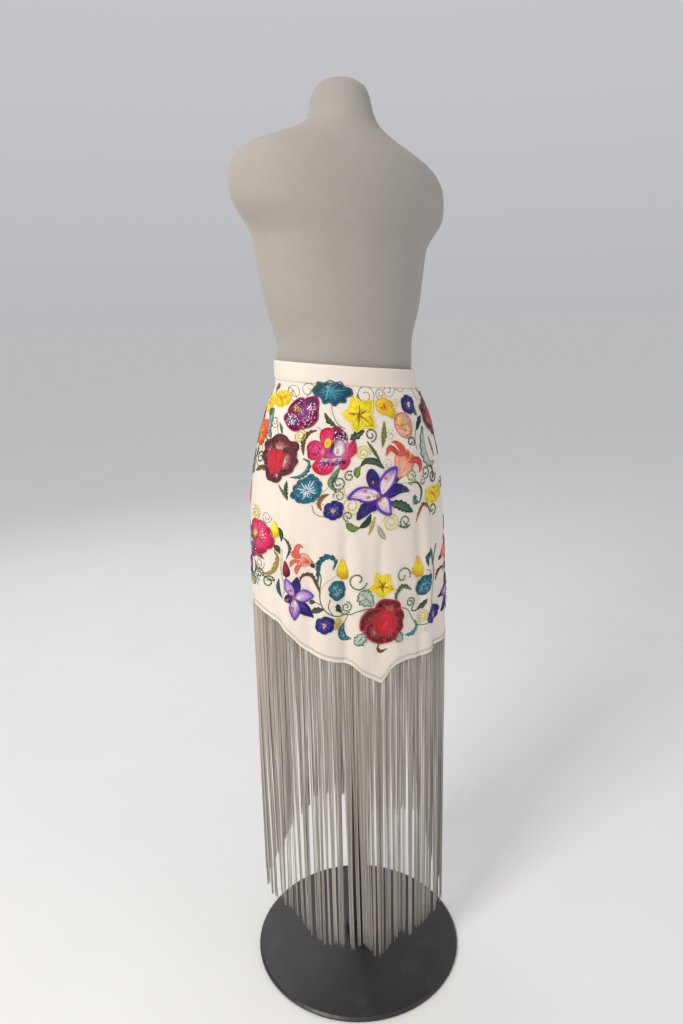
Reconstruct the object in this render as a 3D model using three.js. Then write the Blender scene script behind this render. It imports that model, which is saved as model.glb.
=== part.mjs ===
// Embroidered fringed skirt on a limbless dress form, in millimetres, +Z up.
// The origin is on the floor under the stand's pole. The skirt's back faces +Y and
// the wearer's left side is +X. The cloth is rigid walls with an open waist and hem.
import * as THREE from 'three';

// ---- driving dimensions -------------------------------------------------------------
const WAIST_Z = 1125; // height of the natural waist over the floor
const WAIST_HALF_WIDTH = 122.5;
const HIP_HALF_WIDTH = 182.5;
const HIP_RISE = 110; // drop over which the waist widens most of the way to the hip
const HIP_SHARPNESS = 1.15;
const BACK_DEPTH = 0.66; // half depth over half width, behind the side seams
const FRONT_DEPTH = 0.6; // the same, in front of them

const BAND_TOP = -27; // the waistband at centre back, as drops below the waist
const BAND_BOTTOM = 4;
const WAIST_TILT = 13; // how far the band rises to the left side and falls to the right
const CLOTH = 1.5;
const BAND_PROUD = 1;
const TAPE_WIDTH = 7;
const TAPE_PROUD = 0.8;
const TAPE_THICK = 2.8;
const FRINGE_LENGTH = 572;
const FRINGE_THICK = 5;
const SEAM = 0.3;

const FOLD_DEPTH = 3.5; // the soft vertical folds below the hip
const FOLD_START = 230;
const FOLD_FULL = 450;
const FOLD_WIDTH = 8;
const FOLDS = [62, 28, -30, -62, 118, 152, -112, -146]; // degrees round from centre back

// Hem drop below the waist against degrees round from the pointed centre back.
const HEM_LEFT = [
  [0, 501], [10, 480], [17, 459], [29, 446], [42, 430], [54, 399], [65, 377], [77, 366],
  [90, 363], [120, 364], [138, 345], [152, 305], [165, 285], [180, 281],
];
const HEM_RIGHT = [
  [0, 501], [3, 491], [6, 479], [10, 472], [17, 471], [27, 474], [50, 469], [68, 464],
  [90, 450], [100, 415], [112, 365], [125, 345], [140, 358], [152, 345], [165, 300], [180, 281],
];

// Dress form: height over the waist, half width, depth behind and in front, lean back.
const FORM_SECTIONS = [
  [-265, 138, 86, 76, 0], [-258, 152, 98, 87, 0], [-240, 158, 103, 92, 0],
  [-180, 158, 104, 92, 0], [-90, 144, 94, 84, 0], [0, 117, 73, 66, 0],
  [60, 118, 76, 70, 0], [120, 134, 82, 92, 0], [180, 145, 89, 112, 0],
  [216, 152, 93, 110, 0], [230, 160, 95, 105, 0], [246, 174, 97, 98, 0],
  [266, 188, 98, 92, 0], [288, 191, 97, 86, 0], [310, 189, 94, 78, 1],
  [330, 177, 88, 70, 2], [345, 157, 82, 64, 3], [357, 130, 75, 60, 3],
  [369, 98, 67, 55, 3], [381, 73, 59, 51, 2], [395, 56, 52, 48, 2],
  [411, 50, 47, 46, 1], [428, 46, 44, 44, 0], [442, 39, 38, 38, 0],
  [451, 27, 26, 26, 0], [455, 12, 12, 12, 0],
];
const FORM_TWIST = 9; // degrees that the chest turns past the hips
const FORM_TILT = 4; // degrees that the left shoulder stands above the right
const POSTURE_RISE = 260;
const NECK_START = 380; // the tilt fades out up the neck
const NECK_BLEND = 40;

const POLE_RADIUS = 14;
const FLANGE_RADIUS = 45;
const FLANGE_THICK = 8;
const COLLAR_RADIUS = 24;
const COLLAR_HEIGHT = 26;
const BASE_RADIUS = 200;
const BASE_EDGE = 8;
const BASE_CENTRE = 14;

const RAD = Math.PI / 180;

// ---- curves -------------------------------------------------------------------------
const smooth = (x) => {
  const t = Math.min(Math.max(x, 0), 1);
  return t * t * (3 - 2 * t);
};

function slopes(points, column) {
  const steps = points.slice(1).map((p, i) => (p[column] - points[i][column]) / (p[0] - points[i][0]));
  return points.map((_, i) => {
    if (i === 0) return steps[0];
    if (i === points.length - 1) return steps[i - 1];
    const product = steps[i - 1] * steps[i];
    return product > 0 ? (2 * product) / (steps[i - 1] + steps[i]) : 0;
  });
}

// A smooth curve through the points that never overshoots between them.
function through(points, column = 1) {
  const slope = slopes(points, column);
  return (x) => {
    const last = points.length - 2;
    const found = points.findIndex((p, k) => k > 0 && x <= p[0]) - 1;
    const i = found < 0 ? last : Math.min(found, last);
    const width = points[i + 1][0] - points[i][0];
    const t = (x - points[i][0]) / width;
    const rise = points[i][column] * (1 + 2 * t) * (1 - t) ** 2 + points[i + 1][column] * t * t * (3 - 2 * t);
    return rise + width * (slope[i] * t * (1 - t) ** 2 - slope[i + 1] * t * t * (1 - t));
  };
}

const hemLeft = through(HEM_LEFT);
const hemRight = through(HEM_RIGHT);
const turned = (degrees) => ((degrees + 540) % 360) - 180;
const hem = (degrees) => {
  const angle = turned(degrees);
  return angle >= 0 ? hemLeft(angle) : hemRight(-angle);
};

// ---- skirt surface ------------------------------------------------------------------
const halfWidth = (drop) => {
  const reach = (Math.max(drop, 0) / HIP_RISE) ** HIP_SHARPNESS;
  return HIP_HALF_WIDTH - (HIP_HALF_WIDTH - WAIST_HALF_WIDTH) * Math.exp(-reach);
};

function foldHeight(degrees, drop) {
  const ridges = FOLDS.map((at) => Math.exp(-((turned(degrees - at) / FOLD_WIDTH) ** 2)));
  const total = ridges.reduce((sum, ridge) => sum + ridge, 0);
  return FOLD_DEPTH * smooth((drop - FOLD_START) / (FOLD_FULL - FOLD_START)) * (total - 0.5);
}

// A point of the skirt: degrees round from centre back, drop below the waist, and
// how far it stands out from the cloth's outer face.
function skirtPoint(degrees, drop, proud) {
  const angle = degrees * RAD;
  const wide = halfWidth(drop);
  const deep = wide * (Math.cos(angle) > 0 ? BACK_DEPTH : FRONT_DEPTH);
  const out = proud + foldHeight(degrees, drop);
  return [(wide + out) * Math.sin(angle), (deep + out) * Math.cos(angle), WAIST_Z - drop];
}

// ---- meshes -------------------------------------------------------------------------
function geometryFrom(vertices, triangles) {
  const geometry = new THREE.BufferGeometry();
  geometry.setAttribute('position', new THREE.Float32BufferAttribute(vertices.flat(), 3));
  geometry.setIndex(triangles.flat());
  geometry.computeVertexNormals();
  return geometry;
}

// A closed wall between an outer and an inner grid of points. Columns run round the
// skirt with the angle growing, and rows run down.
function wall(columns, rows, outerAt, innerAt, closed = false) {
  const vertices = [];
  const across = closed ? columns.length : columns.length - 1;
  for (const at of [outerAt, innerAt]) {
    for (const column of columns) {
      for (const row of rows) vertices.push(at(column, row));
    }
  }
  const inner = columns.length * rows.length;
  const id = (i, j, side) => side * inner + (i % columns.length) * rows.length + j;
  const triangles = [];
  const quad = (a, b, c, d) => triangles.push([a, b, c], [a, c, d]);
  const last = rows.length - 1;
  for (let i = 0; i < across; i += 1) {
    for (let j = 0; j < last; j += 1) {
      quad(id(i, j, 0), id(i + 1, j, 0), id(i + 1, j + 1, 0), id(i, j + 1, 0));
      quad(id(i, j, 1), id(i, j + 1, 1), id(i + 1, j + 1, 1), id(i + 1, j, 1));
    }
    quad(id(i, 0, 0), id(i, 0, 1), id(i + 1, 0, 1), id(i + 1, 0, 0));
    quad(id(i, last, 0), id(i + 1, last, 0), id(i + 1, last, 1), id(i, last, 1));
  }
  if (!closed) {
    const end = columns.length - 1;
    for (let j = 0; j < last; j += 1) {
      quad(id(0, j, 0), id(0, j + 1, 0), id(0, j + 1, 1), id(0, j, 1));
      quad(id(end, j, 0), id(end, j, 1), id(end, j + 1, 1), id(end, j + 1, 0));
    }
  }
  return geometryFrom(vertices, triangles);
}

const steps = (from, to, count) => {
  const stop = (_, i) => from + ((to - from) * i) / count;
  return Array.from({ length: count + 1 }, stop);
};

const SEAM_ANGLE = 0.12; // half of the side seam's gap, in degrees
const BACK = steps(-90 + SEAM_ANGLE, 90 - SEAM_ANGLE, 60);
const FRONT = steps(90 + SEAM_ANGLE, 270 - SEAM_ANGLE, 40);

// A strip of the skirt between two edges, given as drops for each angle round.
function strip(columns, count, top, bottom, proud, thick) {
  const drop = (column, row) => top(column) + (bottom(column) - top(column)) * row;
  const outer = (column, row) => skirtPoint(column, drop(column, row), proud);
  const inner = (column, row) => skirtPoint(column, drop(column, row), proud - thick);
  return wall(columns, steps(0, 1, count), outer, inner);
}

const bandEdge = (drop, column) => drop - WAIST_TILT * Math.sin(column * RAD);

function waistband() {
  const round = steps(0, 360, 72).slice(0, -1);
  const outer = (column, row) => skirtPoint(column, bandEdge(row, column), BAND_PROUD);
  const inner = (column, row) => skirtPoint(column, bandEdge(row, column), -CLOTH);
  return wall(round, [BAND_TOP, BAND_BOTTOM], outer, inner, true);
}

const panelTop = (column) => bandEdge(BAND_BOTTOM + SEAM, column);
const panelBottom = (column) => hem(column) - TAPE_WIDTH - SEAM;
const tapeTop = (column) => hem(column) - TAPE_WIDTH;
const fringeTop = (column) => hem(column) + SEAM;
const fringeBottom = (column) => hem(column) + FRINGE_LENGTH;

const panel = (columns, rows) => strip(columns, rows, panelTop, panelBottom, 0, CLOTH);
const tape = (columns) => strip(columns, 1, tapeTop, hem, TAPE_PROUD, TAPE_THICK);
const fringe = (columns) => strip(columns, 2, fringeTop, fringeBottom, TAPE_PROUD, FRINGE_THICK);

// ---- dress form ---------------------------------------------------------------------
// Turns and tilts the chest over the hips, and leaves the neck's height alone.
function posture([x, y, z]) {
  const share = smooth(z / POSTURE_RISE);
  const turn = FORM_TWIST * RAD * share;
  const turnedX = x * Math.cos(turn) - y * Math.sin(turn);
  const turnedY = x * Math.sin(turn) + y * Math.cos(turn);
  const shoulder = 1 - Math.min(Math.max((z - NECK_START) / NECK_BLEND, 0), 1);
  const lift = turnedX * Math.tan(FORM_TILT * RAD * share) * shoulder;
  return [turnedX, turnedY, WAIST_Z + z + lift];
}

const SECTION_SIDES = 44;
const LONG_STEP = 30; // sections further apart than this get one more between them

function formBody() {
  const [wide, behind, before, lean] = [1, 2, 3, 4].map((column) => through(FORM_SECTIONS, column));
  const levels = FORM_SECTIONS.slice(1).flatMap((section, i) => {
    const below = FORM_SECTIONS[i][0];
    return section[0] - below > LONG_STEP ? [below, (below + section[0]) / 2] : [below];
  });
  levels.push(FORM_SECTIONS.at(-1)[0]);
  const vertices = [];
  for (const z of levels) {
    for (const angle of steps(0, 2 * Math.PI, SECTION_SIDES).slice(0, -1)) {
      const deep = Math.cos(angle) > 0 ? behind(z) : before(z);
      vertices.push(posture([wide(z) * Math.sin(angle), deep * Math.cos(angle) + lean(z), z]));
    }
  }
  return closedStack(vertices, SECTION_SIDES, levels.length);
}

// Rings of points, one above another, closed with a flat fan at each end.
function closedStack(rings, sides, count) {
  const vertices = [...rings];
  const triangles = [];
  const id = (ring, i) => ring * sides + (i % sides);
  const mean = (from) => {
    const ring = rings.slice(from, from + sides);
    return [0, 1, 2].map((k) => ring.reduce((sum, point) => sum + point[k], 0) / sides);
  };
  const low = vertices.push(mean(0)) - 1;
  const high = vertices.push(mean((count - 1) * sides)) - 1;
  for (let i = 0; i < sides; i += 1) {
    for (let ring = 0; ring < count - 1; ring += 1) {
      triangles.push([id(ring, i), id(ring + 1, i), id(ring + 1, i + 1)]);
      triangles.push([id(ring, i), id(ring + 1, i + 1), id(ring, i + 1)]);
    }
    triangles.push([low, id(0, i), id(0, i + 1)]);
    triangles.push([high, id(count - 1, i + 1), id(count - 1, i)]);
  }
  return geometryFrom(vertices, triangles);
}

// ---- stand --------------------------------------------------------------------------
function disc(radius, thick, low) {
  const geometry = new THREE.CylinderGeometry(radius, radius, thick, 48);
  geometry.rotateX(Math.PI / 2);
  geometry.translate(0, 0, low + thick / 2);
  return geometry;
}

function standBase() {
  const profile = [
    [0, 0], [BASE_RADIUS - 2, 0], [BASE_RADIUS, 2], [BASE_RADIUS, BASE_EDGE - 3],
    [BASE_RADIUS - 4, BASE_EDGE], [COLLAR_RADIUS + 6, BASE_CENTRE], [0, BASE_CENTRE],
  ].map(([x, y]) => new THREE.Vector2(x, y));
  const geometry = new THREE.LatheGeometry(profile, 72);
  geometry.rotateX(Math.PI / 2);
  return geometry;
}

const FORM_BOTTOM = WAIST_Z + FORM_SECTIONS[0][0];
const COLLAR_LOW = BASE_CENTRE + SEAM;
const POLE_LOW = COLLAR_LOW + COLLAR_HEIGHT + SEAM;
const FLANGE_LOW = FORM_BOTTOM - SEAM - FLANGE_THICK;
const poleHeight = FLANGE_LOW - SEAM - POLE_LOW;

// ---- scene --------------------------------------------------------------------------
const silk = { color: 0xf1e9d9, roughness: 0.6 };
const braid = { color: 0xf4eddd, roughness: 0.7 };
const thread = { color: 0xd9d2c4, roughness: 0.5 };
const linen = { color: 0xc9c0b0, roughness: 0.9 };
const steel = { color: 0x1c1c1e, roughness: 0.45, metalness: 0.6 };

const skirt = new THREE.Group();

function place(group, name, geometry, finish) {
  const mesh = new THREE.Mesh(geometry, new THREE.MeshStandardMaterial(finish));
  mesh.name = name;
  group.add(mesh);
}

place(skirt, 'waistband', waistband(), silk);
place(skirt, 'back_panel', panel(BACK, 12), silk);
place(skirt, 'front_panel', panel(FRONT, 10), silk);
place(skirt, 'back_fringe_tape', tape(BACK), braid);
place(skirt, 'front_fringe_tape', tape(FRONT), braid);
place(skirt, 'back_fringe', fringe(BACK), thread);
place(skirt, 'front_fringe', fringe(FRONT), thread);

const form = new THREE.Group();
place(form, 'form_body', formBody(), linen);
place(form, 'form_flange', disc(FLANGE_RADIUS, FLANGE_THICK, FLANGE_LOW), steel);
place(form, 'stand_pole', disc(POLE_RADIUS, poleHeight, POLE_LOW), steel);
place(form, 'stand_collar', disc(COLLAR_RADIUS, COLLAR_HEIGHT, COLLAR_LOW), steel);
place(form, 'stand_base', standBase(), steel);

const part = new THREE.Group();
part.add(skirt, form);
export default part;
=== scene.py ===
"""Embroidered fringed skirt on a dress form: the finished look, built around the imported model."""
import math

import bpy
import numpy as np
from bpy.props import FloatProperty, FloatVectorProperty, IntProperty, PointerProperty
from mathutils import Matrix, Vector


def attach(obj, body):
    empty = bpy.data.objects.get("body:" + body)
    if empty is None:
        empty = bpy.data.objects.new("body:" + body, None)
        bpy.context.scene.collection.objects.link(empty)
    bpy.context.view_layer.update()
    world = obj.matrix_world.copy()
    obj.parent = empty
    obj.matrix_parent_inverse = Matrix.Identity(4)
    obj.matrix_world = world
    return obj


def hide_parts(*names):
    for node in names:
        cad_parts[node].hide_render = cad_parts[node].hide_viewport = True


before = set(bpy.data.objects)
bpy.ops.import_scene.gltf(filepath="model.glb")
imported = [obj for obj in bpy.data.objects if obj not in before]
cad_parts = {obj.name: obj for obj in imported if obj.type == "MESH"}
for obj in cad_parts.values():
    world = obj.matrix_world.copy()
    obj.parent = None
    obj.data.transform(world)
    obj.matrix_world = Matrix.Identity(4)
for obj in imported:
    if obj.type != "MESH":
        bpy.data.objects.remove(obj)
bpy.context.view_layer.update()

bl_info = {
    "name": "Embroidered fringed skirt",
    "version": (1, 0, 0),
    "blender": (4, 5, 0),
    "location": "3D View > Sidebar > Skirt",
    "description": "Makes a fringed silk skirt with floral embroidery on its dress form",
    "category": "Object",
}

MM = 0.001

# ---- shape of the skirt, in millimetres ----------------------------------------------
WAIST_HALF_WIDTH = 122.5
HIP_HALF_WIDTH = 182.5
HIP_RISE = 110
HIP_SHARPNESS = 1.15
BACK_DEPTH = 0.66
FRONT_DEPTH = 0.6
FOLD_DEPTH = 3.5
FOLD_START = 230
FOLD_FULL = 450
FOLD_WIDTH = 8
FOLDS = (62, 28, -30, -62, 118, 152, -112, -146)  # degrees round from centre back

# Hem drop below the waist against degrees round from the pointed centre back.
HEM_LEFT = [
    (0, 501), (10, 480), (17, 459), (29, 446), (42, 430), (54, 399), (65, 377), (77, 366),
    (90, 363), (120, 364), (138, 345), (152, 305), (165, 285), (180, 281),
]
HEM_RIGHT = [
    (0, 501), (3, 491), (6, 479), (10, 472), (17, 471), (27, 474), (50, 469), (68, 464),
    (90, 450), (100, 415), (112, 365), (125, 345), (140, 358), (152, 345), (165, 300), (180, 281),
]

# Dress form: height over the waist, half width, depth behind and in front, lean back.
FORM_SECTIONS = [
    (-265, 138, 86, 76, 0), (-258, 152, 98, 87, 0), (-240, 158, 103, 92, 0),
    (-180, 158, 104, 92, 0), (-90, 144, 94, 84, 0), (0, 117, 73, 66, 0),
    (60, 118, 76, 70, 0), (120, 134, 82, 92, 0), (180, 145, 89, 112, 0),
    (216, 152, 93, 110, 0), (230, 160, 95, 105, 0), (246, 174, 97, 98, 0),
    (266, 188, 98, 92, 0), (288, 191, 97, 86, 0), (310, 189, 94, 78, 1),
    (330, 177, 88, 70, 2), (345, 157, 82, 64, 3), (357, 130, 75, 60, 3),
    (369, 98, 67, 55, 3), (381, 73, 59, 51, 2), (395, 56, 52, 48, 2),
    (411, 50, 47, 46, 1), (428, 46, 44, 44, 0), (442, 39, 38, 38, 0),
    (451, 27, 26, 26, 0), (455, 12, 12, 12, 0),
]
FORM_TWIST = 9
FORM_TILT = 4
POSTURE_RISE = 260
FORM_ROUND = 0.13  # metres round for each radian, on the form's cover
NECK_START = 380
NECK_BLEND = 40


# ---- settings a user would change ------------------------------------------------------
class SkirtCut(bpy.types.PropertyGroup):
    waist_height: FloatProperty(
        name="Waist height", description="Height of the waist over the floor, in millimetres",
        default=1125.0, min=300.0)
    band_top: FloatProperty(
        name="Band top", description="Rise of the waistband over the waist, in millimetres",
        default=27.0, min=5.0)
    band_bottom: FloatProperty(
        name="Band bottom", description="Drop of the waistband under the waist, in millimetres",
        default=4.0, min=0.0)
    waist_tilt: FloatProperty(
        name="Waist tilt", description="Rise of the band to the left side, in millimetres", default=13.0)
    cloth_thickness: FloatProperty(
        name="Cloth thickness", description="Thickness of the silk, in millimetres",
        default=1.2, min=0.3, max=3.0)
    silk_colour: FloatVectorProperty(
        name="Silk", description="Colour of the skirt's silk", subtype="COLOR",
        default=(0.82, 0.735, 0.635), min=0.0, max=1.0)


class FringeTrim(bpy.types.PropertyGroup):
    length: FloatProperty(
        name="Length", description="Length of the fringe below the hem, in millimetres",
        default=572.0, min=20.0)
    spacing: FloatProperty(
        name="Spacing", description="Distance between two threads at the tape, in millimetres",
        default=1.1, min=0.8)
    thread_width: FloatProperty(
        name="Thread width", description="Width of one fringe thread, in millimetres",
        default=1.1, min=0.4)
    tape_width: FloatProperty(
        name="Tape width", description="Width of the woven tape over the fringe, in millimetres",
        default=7.0, min=3.0)
    sides: IntProperty(
        name="Thread sides", description="Sides of one thread's cross section", default=4, min=3)
    # Partly the threads' own colour and partly painted shade: the default is kept darker than the skirt's
    # silk to stand for the shade the fringe hangs in.
    fringe_colour_and_shade: FloatVectorProperty(
        name="Thread", description="Colour of the fringe threads", subtype="COLOR",
        default=(0.47, 0.42, 0.36), min=0.0, max=1.0)
    tape_colour: FloatVectorProperty(
        name="Tape", description="Colour of the tape", subtype="COLOR",
        default=(0.95, 0.87, 0.76), min=0.0, max=1.0)


class DressForm(bpy.types.PropertyGroup):
    linen_colour: FloatVectorProperty(
        name="Linen", description="Colour of the form's linen cover", subtype="COLOR",
        default=(0.4, 0.37, 0.33), min=0.0, max=1.0)
    metal_colour: FloatVectorProperty(
        name="Stand", description="Colour of the stand's paint", subtype="COLOR",
        default=(0.018, 0.018, 0.02), min=0.0, max=1.0)


# ---- curves ----------------------------------------------------------------------------
def smooth_step(x):
    t = np.clip(x, 0, 1)
    return t * t * (3 - 2 * t)


def smooth_curve(points):
    """A smooth curve through (x, y) points that never overshoots between them."""
    x, y = np.array(points, float).T
    step = np.diff(y) / np.diff(x)
    product = step[:-1] * step[1:]
    total = np.where(product > 0, step[:-1] + step[1:], 1)
    inner = np.where(product > 0, 2 * product / total, 0)
    slope = np.concatenate([step[:1], inner, step[-1:]])

    def curve(at):
        i = np.clip(np.searchsorted(x, at, side="right") - 1, 0, len(x) - 2)
        width = x[i + 1] - x[i]
        t = (at - x[i]) / width
        ends = y[i] * (1 + 2 * t) * (1 - t) ** 2 + y[i + 1] * t * t * (3 - 2 * t)
        return ends + width * (slope[i] * t * (1 - t) ** 2 - slope[i + 1] * t * t * (1 - t))

    return curve


hem_left = smooth_curve(HEM_LEFT)
hem_right = smooth_curve(HEM_RIGHT)


def turned(degrees):
    return (np.asarray(degrees, float) + 540) % 360 - 180


def hem(degrees):
    """Drop of the hem below the waist at an angle round from centre back."""
    angle = turned(degrees)
    return np.where(angle >= 0, hem_left(np.abs(angle)), hem_right(np.abs(angle)))


def half_width(drop):
    reach = (np.maximum(drop, 0) / HIP_RISE) ** HIP_SHARPNESS
    return HIP_HALF_WIDTH - (HIP_HALF_WIDTH - WAIST_HALF_WIDTH) * np.exp(-reach)


def fold_height(degrees, drop):
    ridges = sum(np.exp(-((turned(degrees - at) / FOLD_WIDTH) ** 2)) for at in FOLDS)
    return FOLD_DEPTH * smooth_step((drop - FOLD_START) / (FOLD_FULL - FOLD_START)) * (ridges - 0.5)


def skirt_point(degrees, drop, proud):
    """Points of the skirt in millimetres, from the angle round, the drop and the height over the cloth."""
    degrees, drop, proud = np.broadcast_arrays(
        np.asarray(degrees, float), np.asarray(drop, float), np.asarray(proud, float))
    angle = np.radians(degrees)
    wide = half_width(drop)
    deep = wide * np.where(np.cos(angle) > 0, BACK_DEPTH, FRONT_DEPTH)
    out = proud + fold_height(degrees, drop)
    height = bpy.context.scene.skirt_cut.waist_height - drop
    return np.stack([(wide + out) * np.sin(angle), (deep + out) * np.cos(angle), height], -1)


def hip_table():
    """Angles from -180 to 180 and the millimetres round the hip from centre back to each."""
    angle = np.radians(np.linspace(-180, 180, 1441))
    deep = HIP_HALF_WIDTH * np.where(np.cos(angle) > 0, BACK_DEPTH, FRONT_DEPTH)
    pace = np.hypot(HIP_HALF_WIDTH * np.cos(angle), deep * np.sin(angle))
    round_hip = np.concatenate([[0], np.cumsum((pace[1:] + pace[:-1]) / 2 * np.diff(angle))])
    return np.degrees(angle), round_hip - np.interp(0, angle, round_hip)


TABLE_ANGLES, TABLE_ROUND = hip_table()
HIP_ROUND = TABLE_ROUND[-1] - TABLE_ROUND[0]


def angle_at(across):
    """The angle of a place given as millimetres round the hip to the wearer's left."""
    low = TABLE_ROUND[0]
    return np.interp((np.asarray(across, float) - low) % HIP_ROUND + low, TABLE_ROUND, TABLE_ANGLES)


# ---- meshes ----------------------------------------------------------------------------
def make_object(name, points, faces, finish, colours=None, cut=None, round_trip=0.0):
    """A mesh object from points in millimetres and a list of arrays of faces of one size each.

    round_trip is how far the cut's first number runs before it starts again, on a closed round."""
    faces = [np.asarray(f, np.int32) for f in faces if len(f)]
    corners = np.concatenate([f.ravel() for f in faces])
    totals = np.concatenate([np.full(len(f), f.shape[1], np.int32) for f in faces])
    mesh = bpy.data.meshes.new(name)
    mesh.vertices.add(len(points))
    mesh.vertices.foreach_set("co", (np.asarray(points, float) * MM).astype(np.float32).ravel())
    mesh.loops.add(len(corners))
    mesh.loops.foreach_set("vertex_index", corners)
    mesh.polygons.add(len(totals))
    mesh.polygons.foreach_set("loop_start", np.concatenate([[0], np.cumsum(totals)[:-1]]).astype(np.int32))
    mesh.polygons.foreach_set("use_smooth", np.full(len(totals), True))
    if cut is not None:
        places = [np.asarray(cut, float)[f] for f in faces]
        for place in places:
            behind = place[..., 0].max(1, keepdims=True) - place[..., 0] > round_trip / 2
            place[..., 0] += round_trip * behind
        layer = mesh.uv_layers.new(name="cut")
        flat = np.concatenate([place.reshape(-1, 2) for place in places])
        layer.data.foreach_set("uv", flat.astype(np.float32).ravel())
    if colours is not None:
        layer = mesh.color_attributes.new("dye", "FLOAT_COLOR", "POINT")
        rgba = np.concatenate([colours, np.ones((len(colours), 1))], 1)
        layer.data.foreach_set("color", rgba.astype(np.float32).ravel())
    mesh.update(calc_edges=True)
    mesh.materials.append(finish)
    made = bpy.data.objects.new(name, mesh)
    bpy.context.collection.objects.link(made)
    return made


def take_place(made, node):
    """Shows a piece instead of its plain solid."""
    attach(made, "root")
    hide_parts(node)


def grid_faces(columns, rows, start=0, closed=False, flip=False):
    """Quads over a grid of columns by rows, with each column's points in a row of the array."""
    across = columns if closed else columns - 1
    i, j = np.meshgrid(np.arange(across), np.arange(rows - 1), indexing="ij")
    i, j = i.ravel(), j.ravel()
    k = (i + 1) % columns
    quads = np.stack([i * rows + j, k * rows + j, k * rows + j + 1, i * rows + j + 1], 1) + start
    return quads[:, ::-1] if flip else quads


def rim_faces(outer, inner, closed=False):
    """Quads that join two lines of points."""
    nxt = np.roll(np.arange(len(outer)), -1)
    count = len(outer) if closed else len(outer) - 1
    return np.stack([outer, inner, inner[nxt], outer[nxt]], 1)[:count]


def shell(name, outer, inner, finish, cut, closed=False):
    """A closed thin wall between two grids of points, columns by rows."""
    columns, rows = outer.shape[:2]
    points = np.concatenate([outer.reshape(-1, 3), inner.reshape(-1, 3)])
    size = columns * rows
    ids = np.arange(size).reshape(columns, rows)
    faces = [grid_faces(columns, rows, 0, closed), grid_faces(columns, rows, size, closed, True)]
    faces.append(rim_faces(ids[:, 0], ids[:, 0] + size, closed))
    faces.append(rim_faces(ids[:, -1] + size, ids[:, -1], closed))
    if not closed:
        faces.append(rim_faces(ids[0] + size, ids[0]))
        faces.append(rim_faces(ids[-1], ids[-1] + size))
    return make_object(name, points, faces, finish, cut=np.concatenate([cut, cut]))


def section_faces(count, stops, corners, flipped):
    """Faces of closed threads whose sections have the same number of corners."""
    thread, stop, corner = np.meshgrid(
        np.arange(count), np.arange(stops - 1), np.arange(corners), indexing="ij")
    base = (thread * stops + stop) * corners
    nxt = (corner + 1) % corners
    quads = np.stack([base + corner, base + nxt, base + corners + nxt, base + corners + corner], -1)
    start = np.arange(count)[:, None] * stops * corners
    fan = np.array([(0, k + 1, k) for k in range(1, corners - 1)])
    near = start[:, :, None] + fan[None]
    far = near[:, :, ::-1] + (stops - 1) * corners
    quads, caps = quads.reshape(-1, 4), np.concatenate([near, far], 1).reshape(-1, 3)
    if flipped:
        quads, caps = quads[:, ::-1], caps[:, ::-1]
    return quads, caps


def tubes(paths, radii, sides, along):
    """Round threads. paths is threads by stops by 3, and radii is threads by stops."""
    paths = np.asarray(paths, float)
    count, stops = paths.shape[:2]
    ahead = np.gradient(paths, axis=1)
    ahead /= np.linalg.norm(ahead, axis=2, keepdims=True)
    outward = paths * (1, 1, 0)
    outward = outward - ahead * np.sum(outward * ahead, 2, keepdims=True)
    outward /= np.linalg.norm(outward, axis=2, keepdims=True)
    beside = np.cross(ahead, outward)
    turn = np.arange(sides) * 2 * math.pi / sides
    ring = np.cos(turn)[:, None] * outward[:, :, None] + np.sin(turn)[:, None] * beside[:, :, None]
    points = paths[:, :, None] + ring * np.asarray(radii)[:, :, None, None]
    cut = np.zeros((count, stops, sides, 2))
    cut[..., 0] = np.arange(sides) / sides
    cut[..., 1] = along[:, :, None]
    return points.reshape(-1, 3), section_faces(count, stops, sides, False), cut.reshape(-1, 2)


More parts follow.
